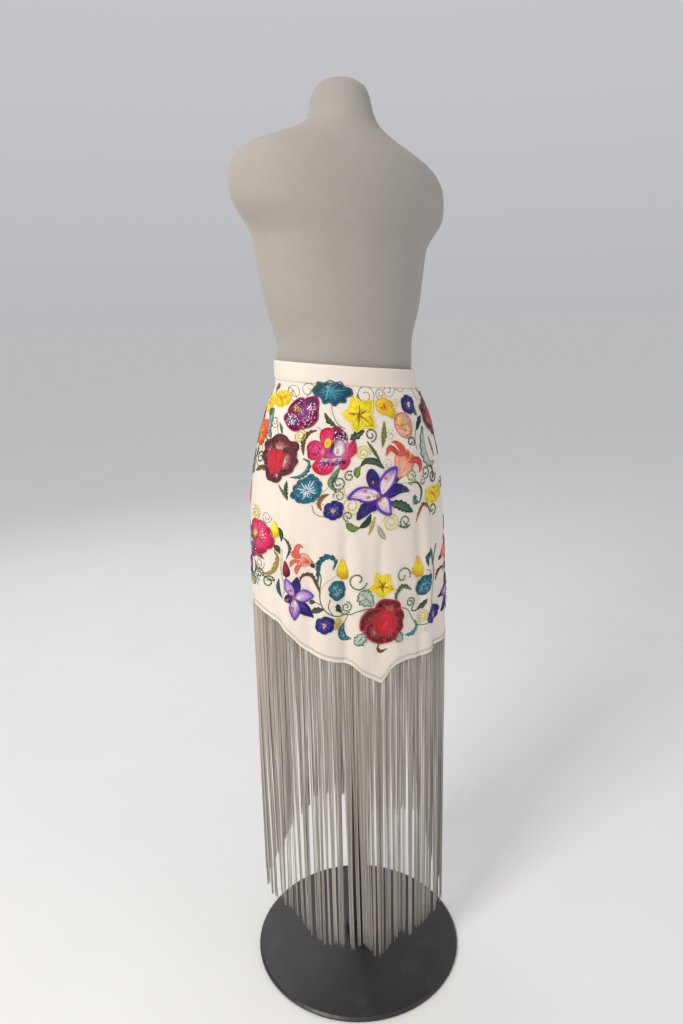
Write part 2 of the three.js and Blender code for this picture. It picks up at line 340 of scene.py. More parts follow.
# ---- finishes --------------------------------------------------------------------------
class Finish:
    """A node material with a few short ways to add the nodes this object needs."""

    def __init__(self, name, colour, roughness, sheen=0.0, metallic=0.0):
        self.material = bpy.data.materials.new(name)
        self.material.use_nodes = True
        self.tree = self.material.node_tree
        self.surface = self.tree.nodes["Principled BSDF"]
        self.surface.inputs["Base Color"].default_value = (*colour, 1)
        self.surface.inputs["Roughness"].default_value = roughness
        self.surface.inputs["Sheen Weight"].default_value = sheen
        self.surface.inputs["Sheen Roughness"].default_value = 0.4
        self.surface.inputs["Metallic"].default_value = metallic

    def node(self, kind, inputs=None, **settings):
        made = self.tree.nodes.new("ShaderNode" + kind)
        for key, value in settings.items():
            setattr(made, key, value)
        for key, value in (inputs or {}).items():
            if isinstance(value, bpy.types.NodeSocket):
                self.tree.links.new(value, made.inputs[key])
            else:
                made.inputs[key].default_value = value
        return made

    def split_cut(self):
        """The cut's places across and along, as two numbers."""
        cut = self.node("UVMap", uv_map="cut")
        return self.node("SeparateXYZ", {0: cut.outputs[0]}).outputs

    def wave(self, turns):
        return self.math("SINE", self.math("MULTIPLY", turns, math.tau))

    def twist(self, pitch):
        """The plies of a twisted thread, which go round once in each pitch of millimetres."""
        split = self.split_cut()
        turns = self.math("MULTIPLY", split[1], 1 / (pitch * MM))
        return self.wave(self.math("ADD", split[0], turns))

    def cloth_place(self, scale):
        cut = self.node("UVMap", uv_map="cut")
        return self.node("Mapping", {"Vector": cut.outputs[0], "Scale": scale}).outputs[0]

    def object_place(self):
        return self.node("TexCoord").outputs["Object"]

    def math(self, operation, a, b=0.0):
        return self.node("Math", {0: a, 1: b}, operation=operation).outputs[0]

    def noise(self, place, scale, detail=2.0, rough=0.5):
        inputs = {"Vector": place, "Scale": scale, "Detail": detail, "Roughness": rough}
        return self.node("TexNoise", inputs).outputs["Fac"]

    def blend(self, share, low, high, way="MIX"):
        inputs = {0: share, 6: low, 7: high}
        return self.node("Mix", inputs, data_type="RGBA", blend_type=way).outputs[2]

    def range(self, value, low, high, to_low, to_high):
        inputs = {"Value": value, "From Min": low, "From Max": high, "To Min": to_low, "To Max": to_high}
        return self.node("MapRange", inputs).outputs[0]

    def use_colour(self, colour):
        self.tree.links.new(colour, self.surface.inputs["Base Color"])

    def use_roughness(self, value):
        self.tree.links.new(value, self.surface.inputs["Roughness"])

    def use_bump(self, height, distance, strength=1.0):
        inputs = {"Height": height, "Distance": distance, "Strength": strength}
        bump = self.node("Bump", inputs)
        self.tree.links.new(bump.outputs[0], self.surface.inputs["Normal"])


def shade(colour, factor):
    return tuple(min(channel * factor, 1.0) for channel in colour) + (1.0,)


def weave_height(finish, pitch):
    """Crossed threads of a plain weave, pitch in millimetres."""
    scale = 1 / (pitch * MM)
    split = finish.node("SeparateXYZ", {0: finish.cloth_place((scale, scale, 1))})
    return finish.math("MULTIPLY", finish.wave(split.outputs[0]), finish.wave(split.outputs[1]))


def silk_finish():
    """Cream silk crepe: a fine crossed weave, pebbled crepe grain and soft colour drift."""
    cut = bpy.context.scene.skirt_cut
    colour = tuple(cut.silk_colour)
    finish = Finish("silk_crepe", colour, 0.5, sheen=0.25)
    place = finish.cloth_place((1, 1, 1))
    drift = finish.noise(place, 9.0, 3.0)
    grain = finish.noise(place, 900.0, 2.0)
    tone = finish.blend(drift, shade(colour, 0.94), shade(colour, 1.05))
    finish.use_colour(finish.blend(finish.range(grain, 0.3, 0.7, 0.0, 0.35), tone, shade(colour, 0.86)))
    finish.use_roughness(finish.range(grain, 0.3, 0.7, 0.42, 0.62))
    weave = weave_height(finish, 0.55)
    finish.use_bump(finish.math("ADD", finish.math("MULTIPLY", weave, 0.5), grain), 0.00012, 0.7)
    return finish.material


def tape_finish():
    """Woven silk tape: close diagonal ribs, painted lighter on their crests and darker in the furrows
    between them.
    """
    colour = tuple(bpy.context.scene.fringe_trim.tape_colour)
    finish = Finish("silk_tape", colour, 0.6, sheen=0.3)
    scale = 1 / (1.4 * MM)
    split = finish.node("SeparateXYZ", {0: finish.cloth_place((scale, scale, 1))})
    sloped = finish.math("ADD", split.outputs[0], finish.math("MULTIPLY", split.outputs[1], 0.8))
    rib = finish.wave(sloped)
    # Painted light and shade: the ribs' crests coloured lighter and the furrows between them darker.
    tone = finish.range(rib, -1, 1, 0.0, 1.0)
    finish.use_colour(finish.blend(tone, shade(colour, 0.86), shade(colour, 1.05)))
    finish.use_bump(rib, 0.00015, 0.6)
    return finish.material


def thread_finish():
    """Twisted silk yarn: slanting plies, a change of tone from thread to thread, and painted shade in
    stripes that follow the twist.
    """
    colour = tuple(bpy.context.scene.fringe_trim.fringe_colour_and_shade)
    finish = Finish("fringe_silk", colour, 0.42, sheen=0.3)
    twist = finish.twist(2.6)
    island = finish.node("NewGeometry").outputs["Random Per Island"]
    tone = finish.blend(island, shade(colour, 0.55), shade(colour, 1.4))
    # Painted shade: the thread's colour darkened in slanting stripes that follow the twist of the plies.
    finish.use_colour(finish.blend(finish.range(twist, -1, 1, 0.0, 0.3), tone, shade(colour, 0.6)))
    finish.use_bump(twist, 0.00025, 0.6)
    return finish.material


def linen_finish():
    """Plain linen cover: slubby crossed threads, faint grime and a matt face."""
    colour = tuple(bpy.context.scene.dress_form.linen_colour)
    finish = Finish("form_linen", colour, 0.85, sheen=0.15)
    place = finish.object_place()
    warp = finish.noise(finish.cloth_place((1500, 60, 1)), 1.0, 2.0)
    weft = finish.noise(finish.cloth_place((60, 1500, 1)), 1.0, 2.0)
    slub = finish.math("ADD", warp, weft)
    drift = finish.noise(place, 14.0, 3.0)
    tone = finish.blend(drift, shade(colour, 0.9), shade(colour, 1.08))
    finish.use_colour(finish.blend(finish.range(slub, 0.7, 1.3, 0.0, 0.5), tone, shade(colour, 0.8)))
    weave = weave_height(finish, 1.1)
    finish.use_bump(finish.math("ADD", finish.math("MULTIPLY", weave, 0.4), slub), 0.0003, 0.6)
    return finish.material


def metal_finish():
    """Black satin paint with a faint orange peel and rubbed edges."""
    colour = tuple(bpy.context.scene.dress_form.metal_colour)
    finish = Finish("stand_paint", colour, 0.38)
    place = finish.object_place()
    peel = finish.noise(place, 700.0, 2.0)
    wear = finish.noise(place, 22.0, 4.0, 0.6)
    worn = finish.range(wear, 0.55, 0.75, 0.0, 0.6)
    finish.use_colour(finish.blend(worn, (*colour, 1), shade(colour, 2.4)))
    finish.use_roughness(finish.range(wear, 0.3, 0.8, 0.32, 0.5))
    finish.use_bump(peel, 0.0001, 0.5)
    return finish.material


# ---- skirt -----------------------------------------------------------------------------
SIDE_GAP = 0.05  # half of the side seam's gap, in degrees
BAND_OVERLAP = 2.5  # how far a panel runs up under the waistband
TAPE_OVERLAP = 1.0  # how far it runs down under the tape
TUCK_DEPTH, TUCK_RUN = 0.35, 1.5  # how deep it dips under the band, and over what drop
BACK_SIDE = (-90 + SIDE_GAP, 90 - SIDE_GAP)
FRONT_SIDE = (90 + SIDE_GAP, 270 - SIDE_GAP)


def cut_places(degrees, drop):
    """The weave's place on the cut cloth, in metres, for grids of angles and drops."""
    across = np.interp(turned(degrees), TABLE_ANGLES, TABLE_ROUND)
    across = np.where((turned(degrees) < -90) & (np.asarray(degrees) > 90), across + HIP_ROUND, across)
    return np.stack([across * MM, drop * MM], -1).reshape(-1, 2)


# Soft creases: millimetres round, top drop, bottom drop, half width, height, lean.
CREASES = (
    (58, 190, 560, 9, -2.6, 0.02), (36, 230, 560, 11, 1.8, 0.0), (-6, 215, 430, 9, -1.9, 0.03),
    (-30, 260, 560, 12, 1.6, 0.0), (-84, 195, 560, 8, -2.4, 0.0), (-103, 205, 560, 9, 2.0, -0.02),
    (-126, 180, 560, 9, -2.8, -0.03), (-156, 220, 540, 11, 1.8, 0.0), (116, 205, 560, 10, -2.2, 0.04),
    (92, 250, 560, 11, 1.6, 0.02), (152, 170, 470, 10, 1.6, 0.03), (172, 165, 420, 9, -2.4, 0.02),
    (206, 190, 420, 12, 1.8, 0.0), (-196, 190, 480, 10, -2.2, 0.0), (-228, 200, 420, 12, 1.8, 0.0),
    (252, 180, 420, 10, -2.2, 0.0), (300, 200, 400, 12, 1.8, 0.02), (342, 170, 380, 10, -2.2, 0.0),
    (392, 190, 360, 12, 1.6, 0.0), (436, 170, 330, 10, -2.0, 0.0), (470, 190, 330, 12, 1.6, 0.0),
    (-268, 180, 440, 10, -2.2, 0.0), (-312, 200, 420, 12, 1.8, 0.0), (-356, 170, 400, 10, -2.0, 0.0),
    (-404, 190, 360, 12, 1.6, 0.0), (-446, 170, 330, 10, -1.8, 0.0),
    (12, 20, 150, 16, -1.2, 0.3), (140, 20, 150, 18, -1.2, -0.3), (-96, 20, 150, 16, 1.2, 0.2),
)
CREASE_RISE = 1.5
RIPPLE_START, RIPPLE_RISE = 20, 120


def panel_ripple(degrees, drop):
    """Creases and small ripples in the cloth, in millimetres, fading out at the waist."""
    across = np.interp(turned(degrees), TABLE_ANGLES, TABLE_ROUND)
    fade = smooth_step((drop - RIPPLE_START) / RIPPLE_RISE)
    slow = 0.5 * np.sin(np.radians(degrees * 7 + drop * 0.25)) * np.sin(drop / 70 + 1)
    fine = 0.22 * np.sin(np.radians(degrees * 19) + drop / 33)
    height = fade * (slow + fine)
    for middle, top, bottom, reach, rise, lean in CREASES:
        aside = (across - middle - lean * (drop - top) + HIP_ROUND / 2) % HIP_ROUND - HIP_ROUND / 2
        run = smooth_step((drop - top) / 70) * (1 - smooth_step((drop - bottom) / 60))
        height = height + CREASE_RISE * rise * run * np.exp(-((aside / reach) ** 2))
    return height


def cloth_point(degrees, drop, proud):
    """Points on the creased cloth."""
    return skirt_point(degrees, drop, panel_ripple(degrees, drop) + proud)


def band_edge(degrees, drop):
    """Drop of a line of the tilted waistband at an angle round."""
    return drop - bpy.context.scene.skirt_cut.waist_tilt * np.sin(np.radians(degrees))


def make_panel(name, node, side, columns, rows):
    cut = bpy.context.scene.skirt_cut
    trim = bpy.context.scene.fringe_trim
    degrees = np.linspace(*side, columns)[:, None]
    row = np.linspace(0, 1, rows)[None, :]
    top = band_edge(degrees, cut.band_bottom - BAND_OVERLAP)
    bottom = hem(degrees) - trim.tape_width + TAPE_OVERLAP
    drop = top + (bottom - top) * row
    degrees = np.broadcast_to(degrees, drop.shape)
    tuck = -TUCK_DEPTH * (1 - smooth_step((drop - band_edge(degrees, cut.band_bottom)) / TUCK_RUN))
    outer = cloth_point(degrees, drop, tuck)
    inner = cloth_point(degrees, drop, tuck - cut.cloth_thickness)
    panel = shell(name, outer, inner, silk_finish(), cut_places(degrees, drop))
    take_place(panel, node)
    round_hip = cloth_point(degrees[:, 0], FOLD_START, 0)


class SKIRT_OT_panels(bpy.types.Operator):
    """Makes the back and front panels of silk crepe"""
    bl_idname = "skirt.panels"
    bl_label = "Panels"

    def execute(self, context):
        make_panel("back_cloth", "back_panel", BACK_SIDE, 190, 70)
        make_panel("front_cloth", "front_panel", FRONT_SIDE, 170, 62)
        return {"FINISHED"}


class SKIRT_OT_waistband(bpy.types.Operator):
    """Makes the narrow waistband with its rolled edges"""
    bl_idname = "skirt.waistband"
    bl_label = "Waistband"

    def execute(self, context):
        cut = context.scene.skirt_cut
        degrees = np.linspace(-180, 180, 181)[:-1, None]
        row = np.linspace(0, 1, 15)[None, :]
        drop = -cut.band_top + (cut.band_top + cut.band_bottom) * row
        degrees = np.broadcast_to(degrees, (180, 15))
        drop = band_edge(degrees, drop)
        round_edge = 0.25 + 0.85 * (1 - np.abs(2 * row - 1) ** 6)
        dip = 0.3 * np.exp(-(((row - 0.9) / 0.03) ** 2))
        outer = skirt_point(degrees, drop, round_edge - dip)
        inner = skirt_point(degrees, drop, -1.4)
        band = shell("waistband_cloth", outer, inner, silk_finish(), cut_places(degrees, drop), True)
        take_place(band, "waistband")
        return {"FINISHED"}


def edge_finish():
    """Pale silk edge of the tape, ribbed across like a fine cord, painted lighter on each rib's crest and
    darker between the ribs.
    """
    colour = tuple(bpy.context.scene.skirt_cut.silk_colour)
    finish = Finish("tape_edge", colour, 0.5, sheen=0.3)
    rib = finish.math("SINE", finish.math("MULTIPLY", finish.split_cut()[1], math.tau / (1.1 * MM)))
    # Painted light and shade: each rib's crest coloured lighter, the dips between ribs darker.
    finish.use_colour(finish.blend(finish.range(rib, -1, 1, 0, 1), shade(colour, 0.8), shade(colour, 1.05)))
    finish.use_bump(rib, 0.0002, 0.7)
    return finish.material


JOIN_ANGLE = 21.0  # where the ends of the tape meet, in degrees round from centre back


class SKIRT_OT_fringe_tape(bpy.types.Operator):
    """Makes the woven tape at the hem with its rolled upper edge"""
    bl_idname = "skirt.fringe_tape"
    bl_label = "Fringe tape"

    def execute(self, context):
        trim = context.scene.fringe_trim
        for name, node, side, columns in (
                ("back_tape", "back_fringe_tape", BACK_SIDE, 240),
                ("front_tape", "front_fringe_tape", FRONT_SIDE, 200)):
            degrees = np.linspace(*side, columns)[:, None]
            row = np.linspace(0, 1, 7)[None, :]
            drop = hem(degrees) - trim.tape_width * (1 - row)
            degrees = np.broadcast_to(degrees, drop.shape)
            puff = 0.1 + 0.35 * (1 - np.abs(2 * row - 1) ** 6)
            outer = cloth_point(degrees, drop, puff)
            inner = cloth_point(degrees, drop, -1.6)
            tape = shell(name, outer, inner, tape_finish(), cut_places(degrees, drop))
            take_place(tape, node)
        self.add_edges()
        return {"FINISHED"}

    def add_edges(self):
        """The raised woven edges along the top and foot of the tape, all round."""
        width = bpy.context.scene.fringe_trim.tape_width
        degrees = np.linspace(JOIN_ANGLE, JOIN_ANGLE + 359, 720)
        finish = edge_finish()
        for name, rise, proud, radius in (("tape_top_edge", width - 0.4, 0.6, 0.85),
                                          ("tape_mid_edge", width * 0.55, 0.35, 0.45),
                                          ("tape_foot_edge", 0.6, 0.2, 0.6)):
            drop = hem(degrees) - rise
            path = cloth_point(degrees, drop, proud)
            swell = 1 + 0.1 * (-1.0) ** np.arange(len(degrees))
            run = np.concatenate([[0], np.cumsum(np.linalg.norm(np.diff(path, axis=0), axis=1))])
            points, faces, cut = tubes(path[None], (radius * swell)[None], 5, run[None] * MM)
            edge = make_object(name, points, faces, finish, cut=cut, round_trip=1.0)
            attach(edge, "root")


def clumps(generator, low, high):
    """Edges of the locks that the threads fall into, in millimetres round the hip."""
    edges = [low]
    while edges[-1] < high:
        edges.append(edges[-1] + generator.choice([6, 9, 13, 18, 26], p=[0.24, 0.3, 0.24, 0.16, 0.06])
                     * generator.uniform(0.8, 1.2))
    return np.array(edges)


class SKIRT_OT_fringe(bpy.types.Operator):
    """Makes the long hanging threads, which gather into locks lower down"""
    bl_idname = "skirt.fringe"
    bl_label = "Fringe"

    def execute(self, context):
        trim = context.scene.fringe_trim
        generator = np.random.default_rng(7)
        stops = 12
        quarter = np.interp(90, TABLE_ANGLES, TABLE_ROUND)
        for name, node, low, high in (
                ("back_threads", "back_fringe", -quarter, quarter),
                ("front_threads", "front_fringe", quarter, HIP_ROUND - quarter)):
            root = np.arange(low + 0.8, high - 0.4, trim.spacing)
            root = root + generator.uniform(-0.25, 0.25, len(root))
            edges = clumps(generator, low, high)
            lock = np.clip(np.searchsorted(edges, root) - 1, 0, len(edges) - 2)
            middle = (edges[lock] + edges[lock + 1]) / 2
            squeeze = generator.uniform(0.4, 0.85, len(edges))[lock]
            sway = generator.normal(0, 1.6, len(edges))[lock]
            swing = generator.normal(0, 2.0, len(edges))[lock]
            start = generator.uniform(0.02, 0.3, len(edges))[lock]
            angle = angle_at(root)
            length = trim.length - np.abs(generator.normal(0, 7, len(root)))
            length = length + generator.normal(0, 5, len(edges))[lock]
            along = np.linspace(0, 1, stops)[None, :]
            gather = smooth_step((along - start[:, None]) / 0.5)
            wave = generator.normal(0, 0.35, (len(root), 1)) * np.sin(
                along * generator.uniform(4, 11, (len(root), 1)) + generator.uniform(0, 6, (len(root), 1)))
            aside = root[:, None] + (middle - root)[:, None] * (1 - squeeze)[:, None] * gather
            aside = aside + sway[:, None] * along ** 1.5 + wave
            depth = -0.6 + generator.normal(0, 0.8, (len(root), 1)) * gather + swing[:, None] * along
            drop = hem(angle)[:, None] - 1.0 + (length[:, None] + 1.0) * along
            paths = skirt_point(angle_at(aside), drop, depth)
            hem_drop = np.minimum(drop, hem(angle)[:, None])
            fold_shift = fold_height(angle_at(aside), hem_drop)
            fold_shift = fold_shift + panel_ripple(angle, hem(angle))[:, None] * (1 - along)
            flat = fold_height(angle_at(aside), drop)
            radial = np.stack([np.sin(np.radians(angle_at(aside))), np.cos(np.radians(angle_at(aside))),
                               np.zeros_like(aside)], -1)
            paths = paths + radial * (fold_shift - flat)[..., None]
            taper = np.interp(along, [0, 0.06, 0.9, 1], [0.8, 1, 1, 0.75])
            radii = trim.thread_width / 2 * taper * generator.uniform(0.8, 1.15, (len(root), 1))
            run = (drop - drop[:, :1]) * MM
            points, faces, cut = tubes(paths, radii, trim.sides, run)
            fringe = make_object(name, points, faces, thread_finish(), cut=cut, round_trip=1.0)
            take_place(fringe, node)
        return {"FINISHED"}


# ---- embroidery threads ----------------------------------------------------------------
def dye(red, green, blue):
    """A thread colour from everyday 0 to 255 values."""
    return np.array([((value / 255 + 0.055) / 1.055) ** 2.4 for value in (red, green, blue)])


TEAL_DEEP, TEAL, TEAL_PALE = dye(8, 84, 106), dye(16, 134, 152), dye(110, 190, 206)
SILVER, CREAM, WHITE = dye(214, 226, 236), dye(246, 230, 196), dye(250, 244, 240)
YELLOW, GOLD, ORANGE, RUST = dye(252, 220, 30), dye(250, 176, 24), dye(232, 108, 14), dye(128, 52, 16)
LEMON, STRAW, KHAKI = dye(246, 232, 120), dye(226, 206, 112), dye(176, 160, 70)
INDIGO, BLUE, LAVENDER = dye(30, 18, 112), dye(66, 56, 184), dye(150, 142, 226)
BLUSH, PEACH, SALMON = dye(240, 176, 170), dye(250, 204, 160), dye(214, 120, 106)
PLUM, MAGENTA, PINK, ROSE_PINK = dye(96, 24, 86), dye(166, 30, 110), dye(234, 56, 130), dye(248, 156, 192)
CRIMSON, WINE, MAROON, RED, SCARLET = (
    dye(178, 12, 50), dye(72, 12, 34), dye(122, 10, 46), dye(216, 8, 48), dye(238, 40, 70))
LILAC, MAUVE = dye(212, 180, 226), dye(156, 116, 202)
VIOLET, DEEP_VIOLET = dye(104, 62, 178), dye(46, 16, 116)
CORAL, CORAL_PALE, FLAME = dye(246, 106, 74), dye(250, 160, 132), dye(230, 66, 34)
FOREST, GREEN, LEAF, LIME = dye(20, 58, 40), dye(40, 96, 58), dye(84, 128, 52), dye(176, 194, 92)
MINT = dye(176, 206, 178)
OLIVE, SAGE, SLATE = dye(112, 112, 34), dye(112, 140, 104), dye(104, 108, 92)
BROWN, TAN, HONEY = dye(98, 66, 30), dye(158, 116, 62), dye(206, 132, 54)

DYE_DEPTH = 1.2  # over 1 deepens every dye


class Needlework:
    """Gathers threads, sequins or beads, to be joined into one mesh."""

    def __init__(self, seed):
        self.generator = np.random.default_rng(seed)
        self.points, self.quads, self.triangles, self.tones, self.places = [], [], [], [], []
        self.count = 0

    def add(self, points, tones, places, quads, triangles):
        self.points.append(points.reshape(-1, 3))
        self.tones.append(tones.reshape(-1, 3))
        self.places.append(places.reshape(-1, 2))
        self.quads.append(quads.reshape(-1, 4) + self.count)
        self.triangles.append(triangles.reshape(-1, 3) + self.count)
        self.count += len(self.points[-1])

    def finish(self, name, finish, slot="embroidery"):
        faces = [np.concatenate(self.quads), np.concatenate(self.triangles)]
        tones = np.clip(np.concatenate(self.tones), 0, 1) ** DYE_DEPTH
        made = make_object(name, np.concatenate(self.points), faces, finish, tones,
                           np.concatenate(self.places))
        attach(made, "root")
        return made


class Ground:
    """A place on the cloth and the thread, beads and sequins sewn there.

    x is to the right as seen and y is up, in millimetres."""

    def __init__(self, works, across, drop, turn=0.0, size=1.0, mirror=False, wide=1.0):
        self.thread, self.bead, self.sequin = works
        self.across, self.drop = across, drop
        angle = math.radians(turn)
        flip = -wide if mirror else wide
        self.matrix = size * np.array([[math.cos(angle) * flip, -math.sin(angle)],
                                       [math.sin(angle) * flip, math.cos(angle)]])
        self.flipped = mirror

    def lay(self, flat, height):
        """Points over the cloth from x and y pairs and their heights."""
        spot = np.asarray(flat, float) @ self.matrix.T
        drop = self.drop - spot[..., 1]
        across = self.across - spot[..., 0] * HIP_HALF_WIDTH / half_width(drop)
        degrees = angle_at(across)
        return cloth_point(degrees, drop, height)


def turn_left(flat):
    return np.stack([-flat[..., 1], flat[..., 0]], -1)


THREAD_PITCH = 1.7  # from one satin thread to the next along an edge
THREE_CORNERS = np.array([(-0.5, 0.0), (0.0, 0.34), (0.5, 0.0)])
HALF_ROUND = np.array([(-1.0, -0.1), (-0.6, 0.85), (0.6, 0.85), (1.0, -0.1)])
FINE_ROUND = np.array([(-1.0, -0.1), (0.0, 1.0), (1.0, -0.1)])


def lay_sections(ground, middle, width, level, tones, corners):
    """Closed threads. middle is threads by stops by 2, the rest is threads by stops."""
    count, stops = middle.shape[:2]
    ahead = np.gradient(middle, axis=1)
    ahead /= np.maximum(np.linalg.norm(ahead, axis=2, keepdims=True), 1e-9)
    beside = turn_left(ahead)[:, :, None]
    aside = corners[None, None, :, 0:1] * width[:, :, None, None]
    flat = middle[:, :, None] - beside * aside
    height = level[:, :, None] + corners[None, None, :, 1] * width[:, :, None]
    # Painted light and shade: each thread is coloured lighter along its raised ridge and darker at its
    # sides, as if lit from above.
    painted_ridge_light = 0.8 + 0.34 * corners[:, 1] / corners[:, 1].max()
    colours = tones[:, :, None] * painted_ridge_light[None, None, :, None]
    places = np.zeros((count, stops, len(corners), 2))
    places[..., 0] = np.linspace(0, 1, len(corners))
    run = np.linalg.norm(np.diff(middle, axis=1), axis=2)
    places[:, 1:, :, 1] = np.cumsum(run, 1)[:, :, None] * MM
    quads, caps = section_faces(count, stops, len(corners), ground.flipped)
    ground.thread.add(ground.lay(flat, height), colours, places, quads, caps)


def ramp(stops, share):
    """Colours at shares of the way from the first to the last of (share, colour) stops."""
    shares = np.array([stop[0] for stop in stops])
    colours = np.array([stop[1] for stop in stops])
    return np.stack([np.interp(share, shares, colours[:, k]) for k in range(3)], -1)


def resample(path, step):
    """Points at even steps along a smooth curve through the given ones."""
    path = np.asarray(path, float)
    reach = np.concatenate([[0], np.cumsum(np.linalg.norm(np.diff(path, axis=0), axis=1))])
    if len(path) > 2:
        slope = np.gradient(path, reach, axis=0)
        fine = np.linspace(0, reach[-1], max(len(path) * 8, 16))
        i = np.clip(np.searchsorted(reach, fine, side="right") - 1, 0, len(reach) - 2)
        width = (reach[i + 1] - reach[i])[:, None]
        t = (fine[:, None] - reach[i][:, None]) / width
        path = (path[i] * (1 + 2 * t) * (1 - t) ** 2 + path[i + 1] * t * t * (3 - 2 * t)
                + width * (slope[i] * t * (1 - t) ** 2 - slope[i + 1] * t * t * (1 - t)))
        reach = np.concatenate([[0], np.cumsum(np.linalg.norm(np.diff(path, axis=0), axis=1))])
    count = max(3, int(round(reach[-1] / step)) + 1)
    at = np.linspace(0, reach[-1], count)
    return np.stack([np.interp(at, reach, path[:, k]) for k in (0, 1)], -1)


def cord(ground, path, radius, tone, level=0.0, step=2.2, other=None, taper=False):
    """A padded cord sewn down over a smooth path, its stitches in turn painted a little lighter and darker,
    or in two dyes in turn when other is given.
    """
    middle = resample(path, step)
    count = len(middle)
    swell = 1 + 0.09 * (-1.0) ** np.arange(count)
    if taper:
        swell = swell * np.sin(np.linspace(0.25, math.pi - 0.12, count)) ** 0.6
    # Painted light and shade: alternate stitches of one dye coloured ten per cent lighter and darker.
    stitch_light_and_shade = 1 + 0.1 * (-1.0) ** np.arange(count)[:, None]
    tones = tone * stitch_light_and_shade
    if other is not None:
        tones = np.where(np.arange(count)[:, None] % 2 == 0, tone, other)
    lay_sections(ground, middle[None], (radius * swell)[None], np.full((1, count), level),
                 tones[None], HALF_ROUND if radius > 0.62 else FINE_ROUND)


def dashes(ground, path, length, gap, width, tones, level=0.05):
    """Short fat stitches one after another along a path."""
    points = resample(path, (length + gap) / 4)
    starts = np.arange(0, len(points) - 3, 4)
    middle = np.stack([points[starts + k] for k in (0, 1, 2, 3)], 1)
    keep = length / (length + gap)
    middle = middle[:, :1] + (middle - middle[:, :1]) * min(1.0, keep * 4 / 3)
    widths = np.tile(width * np.array([0.6, 1.15, 1.15, 0.6]), (len(starts), 1))
    picks = np.array([tones[k % len(tones)] for k in range(len(starts))])
    colours = np.repeat(picks[:, None], 4, axis=1)
    lay_sections(ground, middle, widths / 2, np.full(widths.shape, level), colours, HALF_ROUND)


def spiral(centre, radius, turns, start=0.0, hand=1, tail=()):
    """A path that winds out from a centre, starting at an angle in degrees."""
    share = np.linspace(0.12, 1, int(turns * 10) + 2)
    angle = math.radians(start) + hand * math.tau * turns * share
    reach = radius * 1.2 * share ** 0.75
    path = np.stack([centre[0] + reach * np.cos(angle), centre[1] + reach * np.sin(angle)], -1)
    return np.concatenate([path, np.reshape(tail, (-1, 2))])


BEAD_RINGS = ((0.0, 0.85), (0.7, 1.0), (1.4, 0.45))  # height and width over the radius
BEAD_SIDES, SEQUIN_SIDES = 5, 6


def beads(ground, spots, radius, tones, level=0.0):
    """Round beads sewn at the spots, coloured in turn."""
    spots = np.reshape(spots, (-1, 2))
    turn = np.arange(BEAD_SIDES) * math.tau / BEAD_SIDES
    ring = np.stack([np.cos(turn), np.sin(turn)], -1)
    flat = np.stack([spots[:, None] + ring * radius * wide for _, wide in BEAD_RINGS], 1)
    height = np.empty(flat.shape[:3])
    height[:] = np.array([level + radius * rise for rise, _ in BEAD_RINGS])[None, :, None]
    picks = np.array([tones[k % len(tones)] for k in range(len(spots))])
    colours = np.broadcast_to(picks[:, None, None], flat.shape[:3] + (3,))
    places = np.zeros(flat.shape[:3] + (2,))
    quads, caps = section_faces(len(spots), len(BEAD_RINGS), BEAD_SIDES, ground.flipped)
    ground.bead.add(ground.lay(flat, height), colours, places, quads, caps)


def sequins(ground, spots, radius, tones, level=0.5):
    """Thin discs sewn at the spots, each tipped a little its own way."""
    spots = np.reshape(spots, (-1, 2))
    count = len(spots)
    turn = np.arange(SEQUIN_SIDES) * math.tau / SEQUIN_SIDES
    ring = np.stack([np.cos(turn), np.sin(turn)], -1)
    flat = spots[:, None] + ring[None] * radius
    tip = ground.sequin.generator.uniform(-0.32, 0.32, (count, 2))
    rise = level + radius * (0.35 + np.einsum("ij,kj->ki", ring, tip))
    rings = np.stack([flat, spots[:, None] + ring * radius * 0.45], 1)
    height = np.stack([rise, rise + 0.25], 1)
    picks = np.array(tones)[ground.sequin.generator.integers(len(tones), size=count)]
    colours = np.broadcast_to(picks[:, None, None], rings.shape[:3] + (3,))
    quads, caps = section_faces(count, 2, SEQUIN_SIDES, ground.flipped)
    ground.sequin.add(ground.lay(rings, height), colours, np.zeros(rings.shape[:3] + (2,)), quads, caps)


def closed_curve(corners, step):
    """Points at even steps round a smooth closed curve through the corners."""
    corners = np.asarray(corners, float)
    before, after, beyond = (np.roll(corners, turn, axis=0) for turn in (1, -1, -2))
    t = np.arange(8)[None, :, None] / 8
    a, b, c, d = (points[:, None] for points in (before, corners, after, beyond))
    bend = 2 * a - 5 * b + 4 * c - d + t * (3 * (b - c) + d - a)
    fine = (b + 0.5 * t * (c - a + t * bend)).reshape(-1, 2)
    fine = np.concatenate([fine, fine[:1]])
    reach = np.concatenate([[0], np.cumsum(np.linalg.norm(np.diff(fine, axis=0), axis=1))])
    at = np.arange(int(reach[-1] / step)) * reach[-1] / int(reach[-1] / step)
    return np.stack([np.interp(at, reach, fine[:, k]) for k in (0, 1)], -1)


